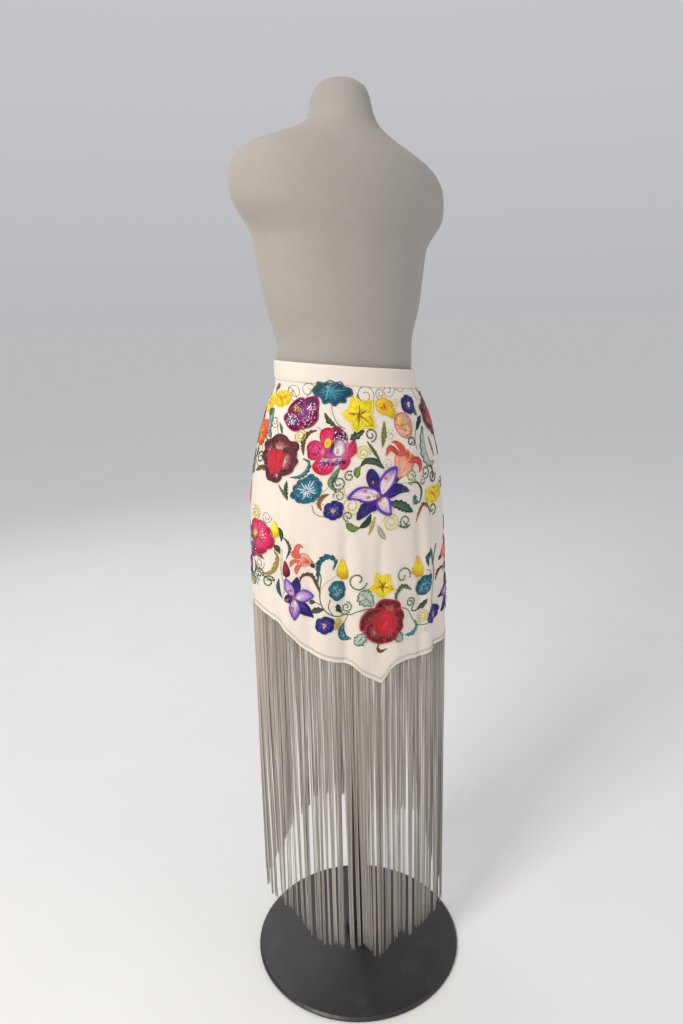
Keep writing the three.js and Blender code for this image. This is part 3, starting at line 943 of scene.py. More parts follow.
class Patch:
    """A padded shape inside a closed outline, its threads fanning out from a focus."""

    def __init__(self, corners, focus=None, level=0.0):
        self.edge = closed_curve(corners, THREAD_PITCH)
        self.focus = np.mean(self.edge, 0) if focus is None else np.array(focus, float)
        self.level = level

    def satin(self, ground, fill, pad=1.0, rag=0.1):
        """Fills the shape with long and short threads coloured from focus to edge."""
        count = len(self.edge)
        share = np.linspace(0.05, 1, 4 if count > 55 else 3)[None, :]
        middle = self.focus + (self.edge - self.focus)[:, None] * share[..., None]
        width = np.maximum(0.4, 1.3 * THREAD_PITCH * share) * np.ones((count, 1))
        dome = pad * np.sin(math.pi * (0.25 + 0.72 * share)) * np.ones((count, 1))
        shares = np.clip(share + ground.thread.generator.normal(0, rag, (count, 1)), 0, 1)
        tones = ramp(fill, shares) * ground.thread.generator.uniform(0.8, 1.18, (count, 1, 1))
        lay_sections(ground, middle, width, self.level + dome, tones, THREE_CORNERS)

    def rim(self, ground, tone, width=2.2, inset=0.0, lift=0.4):
        """A cord round the shape, moved in towards the focus by inset millimetres."""
        inward = self.focus - self.edge
        reach = np.linalg.norm(inward, axis=1, keepdims=True)
        path = self.edge + inward / np.maximum(reach, 1e-6) * np.minimum(inset, 0.85 * reach)
        cord(ground, np.concatenate([path, path[:1]]), width / 2, tone, self.level + lift, 2.6)

    def rims(self, ground, *rows):
        """Cords side by side from the edge inwards, each a tone and a width."""
        inset = 0.0
        for tone, width in rows:
            self.rim(ground, tone, width, inset + width / 2 - 0.6, 0.6 if width > 1 else 0.9)
            inset += width * 0.9

    def sew(self, ground, fill, *rims):
        """Satin inside and cords round the edge."""
        self.satin(ground, fill)
        self.rims(ground, *rims)

    def inside(self, work, count, near=0.2, far=0.85):
        """Spots scattered inside the shape."""
        pick = work.generator.integers(len(self.edge), size=count)
        share = np.sqrt(work.generator.uniform(near ** 2, far ** 2, count))[:, None]
        return self.focus + (self.edge[pick] - self.focus) * share


# Share of the way to the tip, and share of the full half width.
ROUND_TIP = ((0.0, 0.3), (0.3, 0.72), (0.62, 1.0), (0.86, 0.86), (0.98, 0.42))
POINTED_TIP = ((0.0, 0.35), (0.25, 0.85), (0.5, 1.0), (0.76, 0.62), (0.94, 0.18))


def petal(base, tip, width, bend=0.0, form=ROUND_TIP, level=0.0):
    """A patch that grows from a base to a tip, bent to one side by a share of its length."""
    base, along = np.array(base, float), np.subtract(tip, base)
    aside = turn_left(along)
    half = width / 2 / np.linalg.norm(along)
    sides = [[(s, half * wide * side + bend * 4 * s * (1 - s)) for s, wide in form] for side in (1, -1)]
    spots = np.array(sides[0] + [(1.0, 0.0)] + sides[1][::-1])
    return Patch(base + spots[:, :1] * along + spots[:, 1:] * aside, base + 0.08 * along, level)


def blossom(ground, tips, width, fill, centre=(0, 0), rims=(), level=0.0, form=ROUND_TIP, bend=0.0):
    """Petals from one centre out to the given tips. width is one number or one for each."""
    widths = np.broadcast_to(width, len(tips))
    for k, (tip, wide) in enumerate(zip(tips, widths)):
        leafed = petal(centre, tip, wide, bend, form, level + 0.35 * (k % 2))
        leafed.sew(ground, fill, *rims)


def leaf(ground, spine, width, inner, outer, sides=(1, 1), teeth=0, slant=1.0, level=0.05,
         vein=None, rim=None, pitch=1.5, fullness=0.8):
    """Slanting satin threads from a spine out to the leaf's edge, on one side or both."""
    middle = resample(spine, pitch)
    count = len(middle)
    share = np.linspace(0, 1, count)
    ahead = np.gradient(middle, axis=0)
    ahead /= np.linalg.norm(ahead, axis=1, keepdims=True)
    reach = np.sin(math.pi * np.clip(share, 0.03, 0.985) ** 0.85) ** fullness
    if teeth:
        reach = reach * (1 - 0.42 * ((share * teeth) % 1))
    stops = np.linspace(0, 1, 3)[None, :, None]
    for side, full in zip((1, -1), sides):
        if not full:
            continue
        tip = middle + turn_left(ahead) * (side * full * width / 2 * reach)[:, None]
        tip = tip + ahead * (slant * width / 4 * reach)[:, None]
        threads = middle[:, None] + (tip - middle)[:, None] * stops
        lift = level + 0.45 * np.sin(math.pi * (0.15 + 0.7 * stops[..., 0])) * reach[:, None]
        shares = np.clip(stops[..., 0] + ground.thread.generator.normal(0, 0.12, (count, 1)), 0, 1)
        tones = ramp([(0, inner), (0.4, (np.array(inner) + outer) / 2), (0.75, outer)], shares)
        tones = tones * ground.thread.generator.uniform(0.75, 1.15, (count, 1, 1))
        widths = np.full((count, 3), pitch * 1.25)
        lay_sections(ground, threads, widths, lift, tones, THREE_CORNERS)
        if rim is not None:
            cord(ground, tip, 0.75, rim, level + 0.3)
    cord(ground, middle, 0.6, outer if vein is None else vein, level + 0.2)


GOLDEN_ANGLE = 2.39996  # radians, which spreads spots evenly over a disc


def disc(work, centre, radius, count):
    """Spots spread over a round patch."""
    k = np.arange(count) + 0.5
    angle = k * GOLDEN_ANGLE + work.generator.uniform(0, 2, count)
    reach = radius * np.sqrt(k / count) * work.generator.uniform(0.85, 1.1, count)
    return np.stack([centre[0] + reach * np.cos(angle), centre[1] + reach * np.sin(angle)], -1)


# ---- motifs ----------------------------------------------------------------------------
SUNNY = dye(255, 236, 50)
YELLOW_FILL = [(0, ORANGE), (0.3, GOLD), (0.6, YELLOW), (1, SUNNY)]
SUN_FILL = [(0, KHAKI), (0.15, GOLD), (0.35, SUNNY), (1, YELLOW)]
BLUE_FILL = [(0, LAVENDER), (0.3, BLUE), (0.6, INDIGO), (1, INDIGO)]
TEAL_FILL = [(0, SILVER), (0.25, TEAL_PALE), (0.5, TEAL), (1, TEAL_DEEP)]
SEA_FILL = [(0, SILVER), (0.3, TEAL_PALE), (0.5, TEAL), (1, TEAL_DEEP)]
LILAC_FILL = [(0, CREAM), (0.35, dye(255, 240, 232)), (0.75, dye(232, 200, 222)), (1, MAUVE)]
NIGHT_FILL = [(0, VIOLET), (0.4, DEEP_VIOLET * 1.5), (0.7, DEEP_VIOLET), (1, DEEP_VIOLET)]
PINK_FILL = [(0, ROSE_PINK), (0.4, PINK), (1, dye(206, 34, 104))]
CRIMSON_FILL = [(0, ROSE_PINK), (0.35, PINK), (1, dye(222, 38, 94))]
PURPLE_FILL = [(0, MAUVE), (0.4, PLUM), (1, MAGENTA)]
PETAL_PINK = [(0, dye(252, 206, 216)), (0.45, dye(240, 96, 148)), (1, dye(226, 44, 96))]


def teal_trumpet(g):
    body = Patch([(-26, 4), (-20, 10), (-18, 16), (-8, 14), (2, 18), (10, 14), (19, 15), (24, 7), (35, 3),
                  (38, -6), (28, -10), (28, -17), (17, -17), (11, -22), (2, -16), (-7, -18), (-12, -9),
                  (-22, -4)], (1, 1))
    body.sew(g, [(0, TEAL_PALE), (0.3, TEAL), (0.6, TEAL_DEEP), (1, TEAL_DEEP)],
             (TEAL_DEEP * 0.7, 1.8), (TEAL, 1.3))
    for k, tip in enumerate(body.edge[::4]):
        bent = np.array(tip) * (0.5 + 0.15 * (k % 3)) + (1.2, -1.2 if k % 2 else 1.2)
        cord(g, [(1, 1), bent], 0.55, TEAL_PALE if k % 2 else TEAL * 1.4, 1.3, taper=True)
    cord(g, [(2, 13), (-1, 2), (-4, -12)], 0.7, TEAL_PALE, 1.6)
    beads(g, disc(g.bead, (-3, 7), 2.5, 6), 0.8, [CREAM], 1.2)
    sequins(g, disc(g.sequin, (8, 0), 15, 26), 0.8, [SILVER, TEAL_PALE, TEAL], 1.3)


def star(g, tips, widths, stamens):
    blossom(g, tips, widths, SUN_FILL, (0, 0), ((YELLOW * 0.9, 1.5), (SUNNY, 1.3)), form=POINTED_TIP)
    for tip in tips:
        cord(g, [np.array(tip) * 0.2, np.array(tip) * 0.85], 0.5, GOLD, 1.0, taper=True)
    for stamen in stamens:
        cord(g, [(0, 0), np.array(stamen) * 0.55 + (0.6, 0.4), stamen], 0.75, RUST * 0.7, 1.4, taper=True)
    beads(g, disc(g.bead, (0, 0), 3.4, 12), 0.9, [RUST * 2.2, ORANGE], 1.3)


def yellow_star(g):
    star(g, [(-8, 29), (25, 20), (27, -21), (-6, -27), (-27, 2)], (23, 25, 24, 23, 22),
         [(1, 16), (15, 7), (15, -13), (-3, -19), (-19, 4), (5, -8)])


def small_star(g):
    star(g, [(-12, 25), (12, 21), (22, -8), (1, -21), (-25, 0)], 17,
         [(-5, 12), (7, 8), (11, -4), (1, -12), (-6, 1)])


def yellow_bloom(g):
    tips = [(-12, 11), (3, 15), (18, 4), (19, -14), (-6, -10), (-15, -1)]
    blossom(g, tips, (15, 15, 16, 16, 14, 12), YELLOW_FILL, (-1, 0), ((GOLD, 1.3),))
    beads(g, disc(g.bead, (-1, 0), 3, 10), 0.9, [ORANGE, RUST * 2], 1.2)


def yellow_ruffle(g):
    tips = [(-15, -6), (-13, 7), (1, 12), (17, 6), (17, -5), (6, -12), (-6, -12)]
    blossom(g, tips, 13, YELLOW_FILL, rims=((YELLOW, 1.4),))
    beads(g, disc(g.bead, (0, 0), 3, 10), 0.9, [ORANGE, GOLD], 1.2)


def blue_bloom(g):
    tips = [(4, 15), (15, 8), (13, -9), (-2, -15), (-15, -7), (-13, 8)]
    blossom(g, tips, 14, BLUE_FILL, rims=((INDIGO * 0.8, 1.6), (BLUE, 1.0)))
    for tip in tips:
        cord(g, [np.array(tip) * 0.2, np.array(tip) * 0.7], 0.5, LAVENDER, 1.2, taper=True)
    beads(g, disc(g.bead, (0, 0), 4, 16), 0.95, [YELLOW, CREAM, CREAM, GOLD], 1.3)


def pale_rose(g):
    body = Patch([(-17, 0), (-13, 14), (0, 20), (13, 16), (19, 2), (16, -12), (4, -21), (-10, -15)],
                 (2, -10))
    body.sew(g, [(0, PEACH), (0.5, PEACH), (0.75, BLUSH), (1, BLUSH)], (SALMON * 0.9, 1.2), (BLUSH, 1.2))
    for fold in ([(-14, 12), (-2, 1), (8, 2), (17, 6)], [(8, 2), (13, -6), (9, -14), (-2, -17)],
                 [(-12, -4), (-2, -6), (6, -10)], [(-15, 4), (-8, -2), (0, 0)]):
        cord(g, fold, 0.6, SALMON, 1.4)
    blossom(g, [(-6, 12), (-1, 8), (-3, 3), (-9, 3), (-11, 8)], 5, [(0, GOLD), (1, SUNNY)], (-6, 7),
            level=1.2)
    sequins(g, disc(g.sequin, (4, 14), 8, 14), 0.8, [BLUSH, WHITE, ROSE_PINK], 1.5)


def purple_sequined(g):
    plan = [([(-20, 0), (-24, 8), (-12, 22), (0, 22), (2, 6)], (-4, 4)),
            ([(0, 20), (8, 25), (18, 25), (24, 14), (18, 4), (4, 6)], (6, 8)),
            ([(-26, 0), (-29, -8), (-22, -14), (-14, -4)], (-16, -4)),
            ([(-24, -8), (-24, -16), (-12, -26), (0, -24), (2, -8), (-12, -2)], (-6, -8)),
            ([(16, 8), (23, 6), (26, -8), (18, -19), (4, -23), (-2, -20), (2, -4)], (4, -4))]
    whole = Patch([(-25, 8), (-12, 22), (2, 21), (18, 25), (24, 14), (25, -6), (16, -20), (-5, -25),
                   (-23, -17)])
    whole.satin(g, PURPLE_FILL)
    for k, (corners, focus) in enumerate(plan):
        part = Patch(corners, focus, 0.4 + 0.3 * (k % 3))
        part.sew(g, PURPLE_FILL, (MAGENTA, 2.2), (PLUM, 1.0))
    for centre, radius, count, tones in (
            ((-15, -9), 9, 46, [WHITE, SILVER, LILAC]), ((14, 8), 8, 40, [WHITE, WHITE, ROSE_PINK, LILAC]),
            ((14, -8), 10, 50, [CRIMSON, ROSE_PINK, WHITE, MAGENTA]),
            ((2, -15), 8, 34, [CRIMSON, MAGENTA, LILAC]),
            ((-8, 18), 6, 14, [PLUM, LILAC])):
        sequins(g, disc(g.sequin, centre, radius, count), 1.3, tones, 1.6)
    beads(g, disc(g.sequin, (-11, 9), 4.5, 20), 0.95, [YELLOW, SUNNY], 1.6)
    beads(g, disc(g.sequin, (-3, 4), 5, 20), 0.95, [PEACH, BLUSH], 1.5)


def rose(g, petals, heart_edge, fill, rims, glow):
    """A rose: overlapping petals with corded rims, beaded inside, and a ringed heart."""
    for k, (corners, focus) in enumerate(petals):
        part = Patch(corners, focus, 0.35 * k)
        part.sew(g, fill, *rims)
        spots = part.inside(g.sequin, len(part.edge), 0.3, 0.75)
        sequins(g, spots, 0.75, glow, part.level + 1.3)
    core = Patch(heart_edge, level=0.35 * len(petals))
    core.satin(g, [(0, SCARLET), (1, CRIMSON)])
    # Painted shade: thin dark cords between the heart's ring cords stand for the shade in the grooves
    # between them.
    groove_shade = (CRIMSON * 0.4, 0.8)
    rings = (groove_shade, (SCARLET * 0.85, 2.1), groove_shade, (RED * 0.85, 2.1))
    core.rims(g, (RED * 0.85, 2.6), *rings, *rings)


def maroon_rose(g):
    petals = [
        ([(-19, 22), (-15, 32), (-6, 36), (7, 33), (15, 26), (27, 24), (31, 14), (20, 6), (0, 8)], (3, 10)),
        ([(-14, 22), (-25, 25), (-34, 20), (-31, 10), (-36, 3), (-33, -6), (-25, -10), (-14, -8)],
         (-12, 6)),
        ([(-14, -9), (-27, -10), (-23, -22), (-19, -34), (-11, -37), (-3, -30), (-3, -20)], (-8, -14)),
        ([(-9, -27), (-12, -35), (-4, -39), (4, -37), (8, -28), (0, -21)], (-1, -25)),
        ([(7, 14), (18, 16), (29, 9), (29, 2), (33, -5), (28, -13), (25, -21), (13, -27), (4, -26),
          (4, -8)], (7, -6))]
    heart_edge = [(-6, 13), (5, 12), (10, 3), (9, -10), (5, -21), (-7, -25), (-17, -15), (-19, 2),
                  (-15, 12)]
    fill = [(0, WHITE), (0.25, BLUSH), (0.5, dye(140, 20, 62)), (0.7, MAROON * 0.85)]
    rims = ((MAROON * 0.65, 2.4), (WINE, 0.7), (MAROON * 0.9, 1.8), (BLUSH * 0.25, 0.6))
    rose(g, petals, heart_edge, fill, rims, [MAROON, WINE, MAROON, dye(190, 90, 110)])


def red_rose(g):
    petals = [
        ([(-12, 28), (1, 38), (18, 36), (31, 30), (34, 19), (23, 13), (10, 14), (0, 18)], (12, 14)),
        ([(22, 18), (35, 16), (42, 3), (38, -7), (39, -18), (28, -26), (19, -20)], (17, -2)),
        ([(1, -38), (16, -38), (27, -29), (26, -20), (13, -20), (2, -24)], (12, -20)),
        ([(-28, 0), (-40, -9), (-42, 3), (-38, 16), (-26, 25), (-11, 26), (6, 20), (8, 11), (-11, 8)],
         (-12, 6)),
        ([(-20, 3), (-31, -2), (-33, -15), (-25, -28), (-13, -36), (1, -40), (5, -28), (-11, -19)],
         (-13, -13))]
    heart_edge = [(-17, 10), (0, 19), (18, 15), (23, 0), (21, -18), (4, -26), (-12, -19), (-18, -3)]
    fill = [(0, PEACH), (0.3, SALMON), (0.5, dye(146, 24, 58)), (1, dye(124, 10, 44))]
    # Painted shade: the thin cord of darkened crimson inside the padded rim stands for the shadow at the
    # rim's inner edge.
    rims = ((CRIMSON * 0.95, 3.6), (CRIMSON * 0.35, 0.7))
    rose(g, petals, heart_edge, fill, rims, [WINE, CRIMSON, dye(200, 96, 120), PLUM])


def peony(g):
    plan = [
        ([(6, 30), (8, 35), (15, 33), (24, 27), (30, 18), (28, 8), (15, 4), (3, 12)], (14, 8), PURPLE_FILL),
        ([(-13, 18), (-11, 29), (-1, 33), (7, 30), (7, 20), (3, 8), (-6, 4)], (-2, 8), CRIMSON_FILL),
        ([(-33, 4), (-29, 11), (-21, 14), (-13, 11), (-2, 4), (-3, -10), (-13, -15), (-25, -15), (-31, -12),
          (-32, -4)], (-6, -3), PINK_FILL),
        ([(-21, -20), (-12, -15), (4, -13), (12, -18), (9, -29), (4, -36), (-8, -39), (-19, -35),
          (-24, -27)], (4, -17), CRIMSON_FILL),
        ([(14, -8), (33, 1), (38, 10), (44, 8), (46, -6), (40, -12), (35, -16), (36, -21), (29, -31),
          (22, -32), (20, -24), (8, -18)], (13, -12), PETAL_PINK),
        ([(0, 11), (14, 14), (29, 12), (31, 0), (24, -11), (10, -19), (-8, -14), (-8, -2)], (6, -2),
         [(0, PLUM), (0.3, MAUVE), (0.6, PINK), (1, ROSE_PINK)])]
    for k, (corners, focus, fill) in enumerate(plan):
        part = Patch(corners, focus, 0.35 * (k % 4))
        # Painted shade: the thin cord of the edge colour darkened to 0.4, between the outer and inner rim
        # cords, is a dark line standing for the shadow in the groove between them.
        part.sew(g, fill, (fill[-1][1] * 0.85, 2.0), (fill[-1][1] * 0.4, 0.7), (fill[-1][1] * 1.15, 1.2))
    pale = Patch([(11, 11), (22, 11), (27, 0), (22, -10), (12, -9), (8, 1)], (15, -7), 1.9)
    pale.satin(g, [(0, ROSE_PINK), (0.25, WHITE), (0.9, WHITE), (1, ROSE_PINK)])
    pale.rim(g, LILAC, 1.2)
    yolk = Patch([(-5, 10), (-2, 16), (3, 15), (4, 8), (1, 3), (-4, 4)], level=1.6)
    yolk.satin(g, [(0, GOLD), (1, SUNNY)])
    yolk.rim(g, YELLOW, 1.3)
    for k in range(9):
        lean = math.radians(-70 + 16 * k)
        tip = (6 + 13 * math.cos(lean), 5 + 12 * math.sin(lean))
        cord(g, [(5, 5), tip], 0.5, PLUM * 0.5, 2.8, taper=True)
    glitter = [WHITE, WHITE, LILAC, SILVER]
    for centre, reach, count, tones in (
            ((6, -16), (17, 2.5), 54, glitter), ((8, -21), (20, 3.0), 60, [VIOLET, PLUM, LILAC, INDIGO]),
            ((17, 21), (8, 6), 34, [MAGENTA, LILAC, WHITE, WHITE]), ((27, 14), (4, 6), 14, glitter),
            ((-20, -2), (9, 8), 22, [MAGENTA, ROSE_PINK]), ((-8, -28), (10, 6), 16, [ROSE_PINK, PINK])):
        spots = np.array(centre) + g.sequin.generator.uniform(-1, 1, (count, 2)) * reach
        sequins(g, spots, 1.25, tones, 2.0)


def sea_flower(g):
    tips = [(-27, -10), (-23, 4), (-15, 15), (-5, 19), (6, 25), (15, 19), (22, 11), (22, 0), (19, -9),
            (11, -17), (1, -20), (-8, -20), (-17, -18)]
    blossom(g, tips, 12.5, SEA_FILL, rims=((TEAL_DEEP, 1.6), (TEAL, 1.4)))
    for k, tip in enumerate(tips):
        bent = np.array(tip) * (0.5 + 0.14 * (k % 3)) + ((-1) ** k * 1.5, 1.0)
        cord(g, [np.array(tip) * 0.05, np.array(tip) * 0.3, bent], 0.9, SILVER, 1.3, taper=True)
    sequins(g, disc(g.sequin, (0, 0), 17, 40), 1.0, [SILVER, TEAL_PALE, TEAL], 1.4)


PALE_RIMS = ((VIOLET, 2.6), (DEEP_VIOLET, 0.8), (VIOLET * 1.3, 2.0), (DEEP_VIOLET, 0.6))


def lily(g, dark, pale, spots, rims=PALE_RIMS):
    """A lily of dark patches behind pale ones with a double rim, and gold stamens."""
    for part in dark:
        part.sew(g, NIGHT_FILL, (DEEP_VIOLET * 1.1, 2.2), (VIOLET, 0.7))
        sequins(g, part.inside(g.sequin, len(part.edge) * 4 // 5, 0.2, 0.8), 0.7,
                [MAUVE, VIOLET, INDIGO], 1.2)
    for part in pale:
        part.level += 0.9
        part.sew(g, LILAC_FILL if rims is PALE_RIMS else [(0, WHITE), (0.4, LILAC), (1, MAUVE)], *rims)
        glints = part.inside(g.sequin, len(part.edge) // 3, 0.15, 0.55)
        sequins(g, glints, 0.7, [WHITE, BLUSH, CREAM, HONEY], 2.1)
    for spot in spots:
        beads(g, disc(g.bead, spot, 2.8, 11), 0.9, [ORANGE, GOLD, HONEY], 2.1)


def big_lily(g):
    dark = [([(-18, 35), (-14, 45), (-6, 46), (2, 36), (4, 24), (4, 8), (-6, 8), (-16, 24)], (0, 6)),
            ([(12, 8), (24, 18), (38, 18), (49, 13), (60, 3), (47, 3), (36, 1), (24, -3), (10, 0)], (8, 3)),
            ([(-12, -3), (-25, -6), (-34, -15), (-38, -32), (-25, -28), (-14, -22), (-4, -19), (-2, -5)],
             (-4, -6))]
    pale = [([(5, 5), (3, 24), (11, 36), (20, 43), (37, 46), (36, 34), (29, 21), (19, 11), (9, 4)], (5, 4)),
            ([(-52, 3), (-43, 14), (-30, 20), (-14, 18), (0, 11), (4, 3), (-3, -2), (-16, -5), (-30, -3),
              (-39, 2)], (2, 3)),
            ([(5, 0), (-5, -9), (0, -21), (9, -28), (21, -32), (22, -21), (21, -7), (14, 2)], (6, -1))]
    lily(g, [Patch(*row) for row in dark], [Patch(*row) for row in pale],
         [(15, 30), (-22, 14), (-18, 3), (-9, 25), (0, 2), (3, -4)])


def tall_lily(g):
    dark = [((0, 4), (5, 35), 15, 0.0), ((4, -5), (30, -35), 17, -0.06), ((-2, 0), (-17, -6), 15, 0.0)]
    pale = [((-1, 3), (-13, 33), 14, 0.03), ((2, 0), (32, 3), 21, 0.05), ((0, -3), (-1, -40), 17, 0.03)]
    lily(g, [petal(*row, POINTED_TIP) for row in dark],
         [petal(*row, POINTED_TIP) for row in pale], [(0, 0), (-4, 12), (-3, -18), (-11, -4)],
         ((VIOLET, 1.6), (DEEP_VIOLET, 0.6)))


def coral_lily(g):
    body = [(0, CORAL_PALE), (0.3, dye(252, 200, 172)), (0.7, dye(252, 186, 160)), (1, CORAL_PALE)]
    for base, tip, width in (((-20, -29), (-6, 11), 24), ((-19, -28), (14, -1), 22)):
        part = petal(base, tip, width)
        part.sew(g, body, (CORAL, 1.2))
        sequins(g, part.inside(g.sequin, 14), 0.7, [CORAL, PEACH, WHITE], 1.4)
    curls = [([(-8, 4), (-17, 11), (-28, 20), (-39, 8)], 9), ([(-5, 5), (-8, 16), (-14, 26), (-24, 29)], 8),
             ([(-2, 4), (-4, 16), (-7, 25)], 7), ([(2, 0), (5, 13)], 6), ([(11, -5), (14, 4)], 6),
             ([(2, -7), (16, -5), (29, -10), (32, -20), (26, -28)], 11)]
    for spine, width in curls:
        leaf(g, spine, width, CORAL, FLAME, level=0.9, slant=0.8, vein=CORAL_PALE)
    for stamen in ([(4, -2), (8, 8)], [(7, -3), (12, 6)], [(6, -3), (10, 7)]):
        cord(g, stamen, 0.5, YELLOW, 1.5)
    leaf(g, [(-27, -38), (-18, -28), (-10, -21)], 9, LEAF, FOREST, teeth=3)


def coral_bell(g):
    part = petal((20, -5), (0, 4), 22)
    part.sew(g, [(0, CORAL), (0.4, CORAL_PALE), (1, dye(252, 190, 164))], (CORAL, 1.2))
    for spine, width in (([(4, 4), (-2, 16), (2, 25), (9, 22)], 8), ([(2, 4), (-6, 8), (-8, 16)], 6),
                         ([(2, 0), (-8, -2), (-12, -10)], 6), ([(6, -6), (-1, -12), (-3, -23)], 7)):
        leaf(g, spine, width, CORAL_PALE, CORAL, level=0.8, vein=FLAME)
    leaf(g, [(15, -4), (21, -7), (27, -13)], 8, FOREST, FOREST, teeth=2)


def bell(g, top, tips, fill, rim):
    for tip, width in tips:
        part = petal(top, tip, width)
        part.sew(g, fill, (rim, 1.2))


def yellow_bell(g):
    tips = (((-6, -8), 10), ((6, -14), 11), ((1, -13), 11))
    bell(g, (0, 20), tips, [(0, ORANGE), (0.3, YELLOW), (0.7, SUNNY), (1, GOLD)], YELLOW * 0.9)


def bud(g, fill=((0, WINE), (0.5, CRIMSON), (1, MAROON))):
    bell(g, (-1, 13), (((-3, -12), 8), ((4, -12), 8), ((1, -14), 7)), fill, fill[-1][1])


def yellow_bud(g):
    bud(g, ((0, LEMON), (0.4, SUNNY), (1, YELLOW)))


def teal_bloom(g):
    tips = [(-11, 8), (-2, 16), (9, 14), (14, 2), (10, -13), (1, -17), (-9, -10)]
    blossom(g, tips, 13, TEAL_FILL, rims=((TEAL_DEEP, 1.4), (TEAL, 1.0)))
    sequins(g, disc(g.sequin, (1, 0), 10, 36), 1.1, [TEAL_PALE, SILVER, TEAL], 1.3)


def teal_fan(g):
    tips = [(-17, 1), (-10, 12), (2, 20), (14, 18), (15, 6), (9, -5), (-4, -14), (-12, -10)]
    blossom(g, tips, 13, TEAL_FILL, (-1, -1), ((TEAL_DEEP, 1.4), (TEAL, 1.0)))
    sequins(g, disc(g.sequin, (1, 2), 10, 32), 1.1, [TEAL_PALE, SILVER, TEAL], 1.3)


def magenta_bloom(g):
    plan = [((0, 0), (-12, -30), 32, PURPLE_FILL), ((-2, -4), (-30, -34), 24, PURPLE_FILL),
            ((0, -2), (6, -27), 28, CRIMSON_FILL), ((0, 2), (-33, 6), 24, PURPLE_FILL),
            ((0, -1), (30, -6), 24, CRIMSON_FILL), ((0, 4), (-18, 27), 22, PINK_FILL),
            ((0, 2), (26, 13), 22, PINK_FILL), ((0, 4), (8, 28), 24, PETAL_PINK)]
    for k, (base, tip, width, fill) in enumerate(plan):
        part = petal(base, tip, width, level=0.35 * (k % 3))
        part.sew(g, fill, (fill[-1][1], 1.9), (PLUM, 0.7))
    beads(g, disc(g.bead, (-8, 6), 6, 34), 1.0, [YELLOW, LEMON], 1.6)
    sequins(g, disc(g.sequin, (-13, -17), 9, 34), 1.2, [VIOLET, PLUM, LILAC, WHITE], 1.6)
    sequins(g, disc(g.sequin, (10, 6), 7, 24), 1.2, [ROSE_PINK, WHITE], 1.6)


def orange_bloom(g):
    tips = [(-10, 16), (8, 18), (16, 2), (6, -16), (-10, -12), (-18, 2)]
    blossom(g, tips, 15, [(0, YELLOW), (0.4, ORANGE), (1, ORANGE)], rims=((ORANGE * 0.85, 1.6),))
    beads(g, disc(g.bead, (0, 0), 3.4, 12), 0.95, [YELLOW, RUST], 1.3)


def beaded_spiral(g, centre, radius, start=0.0, hand=1, turns=2.2, tail=()):
    """A pale spiral edged with beads."""
    path = spiral(centre, radius * 1.08, turns, start, hand, tail)
    cord(g, path, 1.1, LEMON, other=STRAW)
    beads(g, resample(path, 3.1), 0.7, [OLIVE, KHAKI], 0.9)


def stitched_spiral(g, centre, radius, start=0.0, hand=1, turns=1.8, tail=(), tones=(FOREST, SAGE)):
    """A spiral of short fat stitches."""
    dashes(g, spiral(centre, radius * 1.12, turns, start, hand, tail), 2.8, 0.6, 2.7, tones)


def line_spiral(g, centre, radius, start=0.0, hand=1, turns=1.7, tail=()):
    cord(g, spiral(centre, radius * 1.35, turns, start, hand, tail), 0.55, SLATE * 0.6)


def vine(g, path, tone=BROWN, other=SAGE, radius=0.65):
    cord(g, path, radius, tone, other=other)


FRONT_START = 245  # flowers further round than this, in millimetres, are the front's

# Flowers: motif, millimetres round to the left from centre back, drop, turn, size, mirrored, widened.
UPPER_FLOWERS = [
    (teal_trumpet, 92, 8), (yellow_star, 26, 45), (yellow_bloom, -34, 37), (blue_bloom, -102, 37),
    (pale_rose, -73, 68), (yellow_ruffle, 202, 18), (purple_sequined, 144, 40), (maroon_rose, 178, 108),
    (peony, 88, 95), (sea_flower, 122, 158), (blue_bloom, 78, 191), (big_lily, -1, 177),
    (coral_lily, -66, 120), (yellow_ruffle, -134, 191, 0, 1.15, False, 1.5),
    (maroon_rose, -176, 62, 0, 0.85, True),
    (orange_bloom, 240, 74, 0, 1.15), (yellow_ruffle, 243, 26, 40), (magenta_bloom, 290, 60, 0, 0.9, True),
    (sea_flower, 282, 128, 20), (big_lily, 350, 120, 10, 0.95, True), (yellow_star, 338, 34, 15),
    (blue_bloom, 306, 176, 0, 1.1), (pale_rose, 276, 176, 0, 0.9), (maroon_rose, 425, 70, 0, 0.9, True),
    (teal_trumpet, 384, 22, 0, 0.9, True), (coral_lily, 415, 150, 0, 0.9, True), (yellow_bloom, 462, 24),
    (peony, -452, 98, 0, 0.85, True), (blue_bloom, -412, 26), (yellow_ruffle, 455, 168),
    (purple_sequined, -392, 66, 20, 0.85), (sea_flower, -400, 142, -15, 0.9), (red_rose, -335, 92, 0, 0.8),
    (yellow_star, -330, 26, 0, 0.75), (orange_bloom, -282, 40), (blue_bloom, -280, 96),
    (coral_lily, -258, 128, 0, 0.85), (teal_trumpet, -255, 14, 0, 0.85), (pale_rose, -320, 160),
    (yellow_bloom, -232, 62), (teal_bloom, -222, 178), (magenta_bloom, -222, 108, 0, 0.7),
]
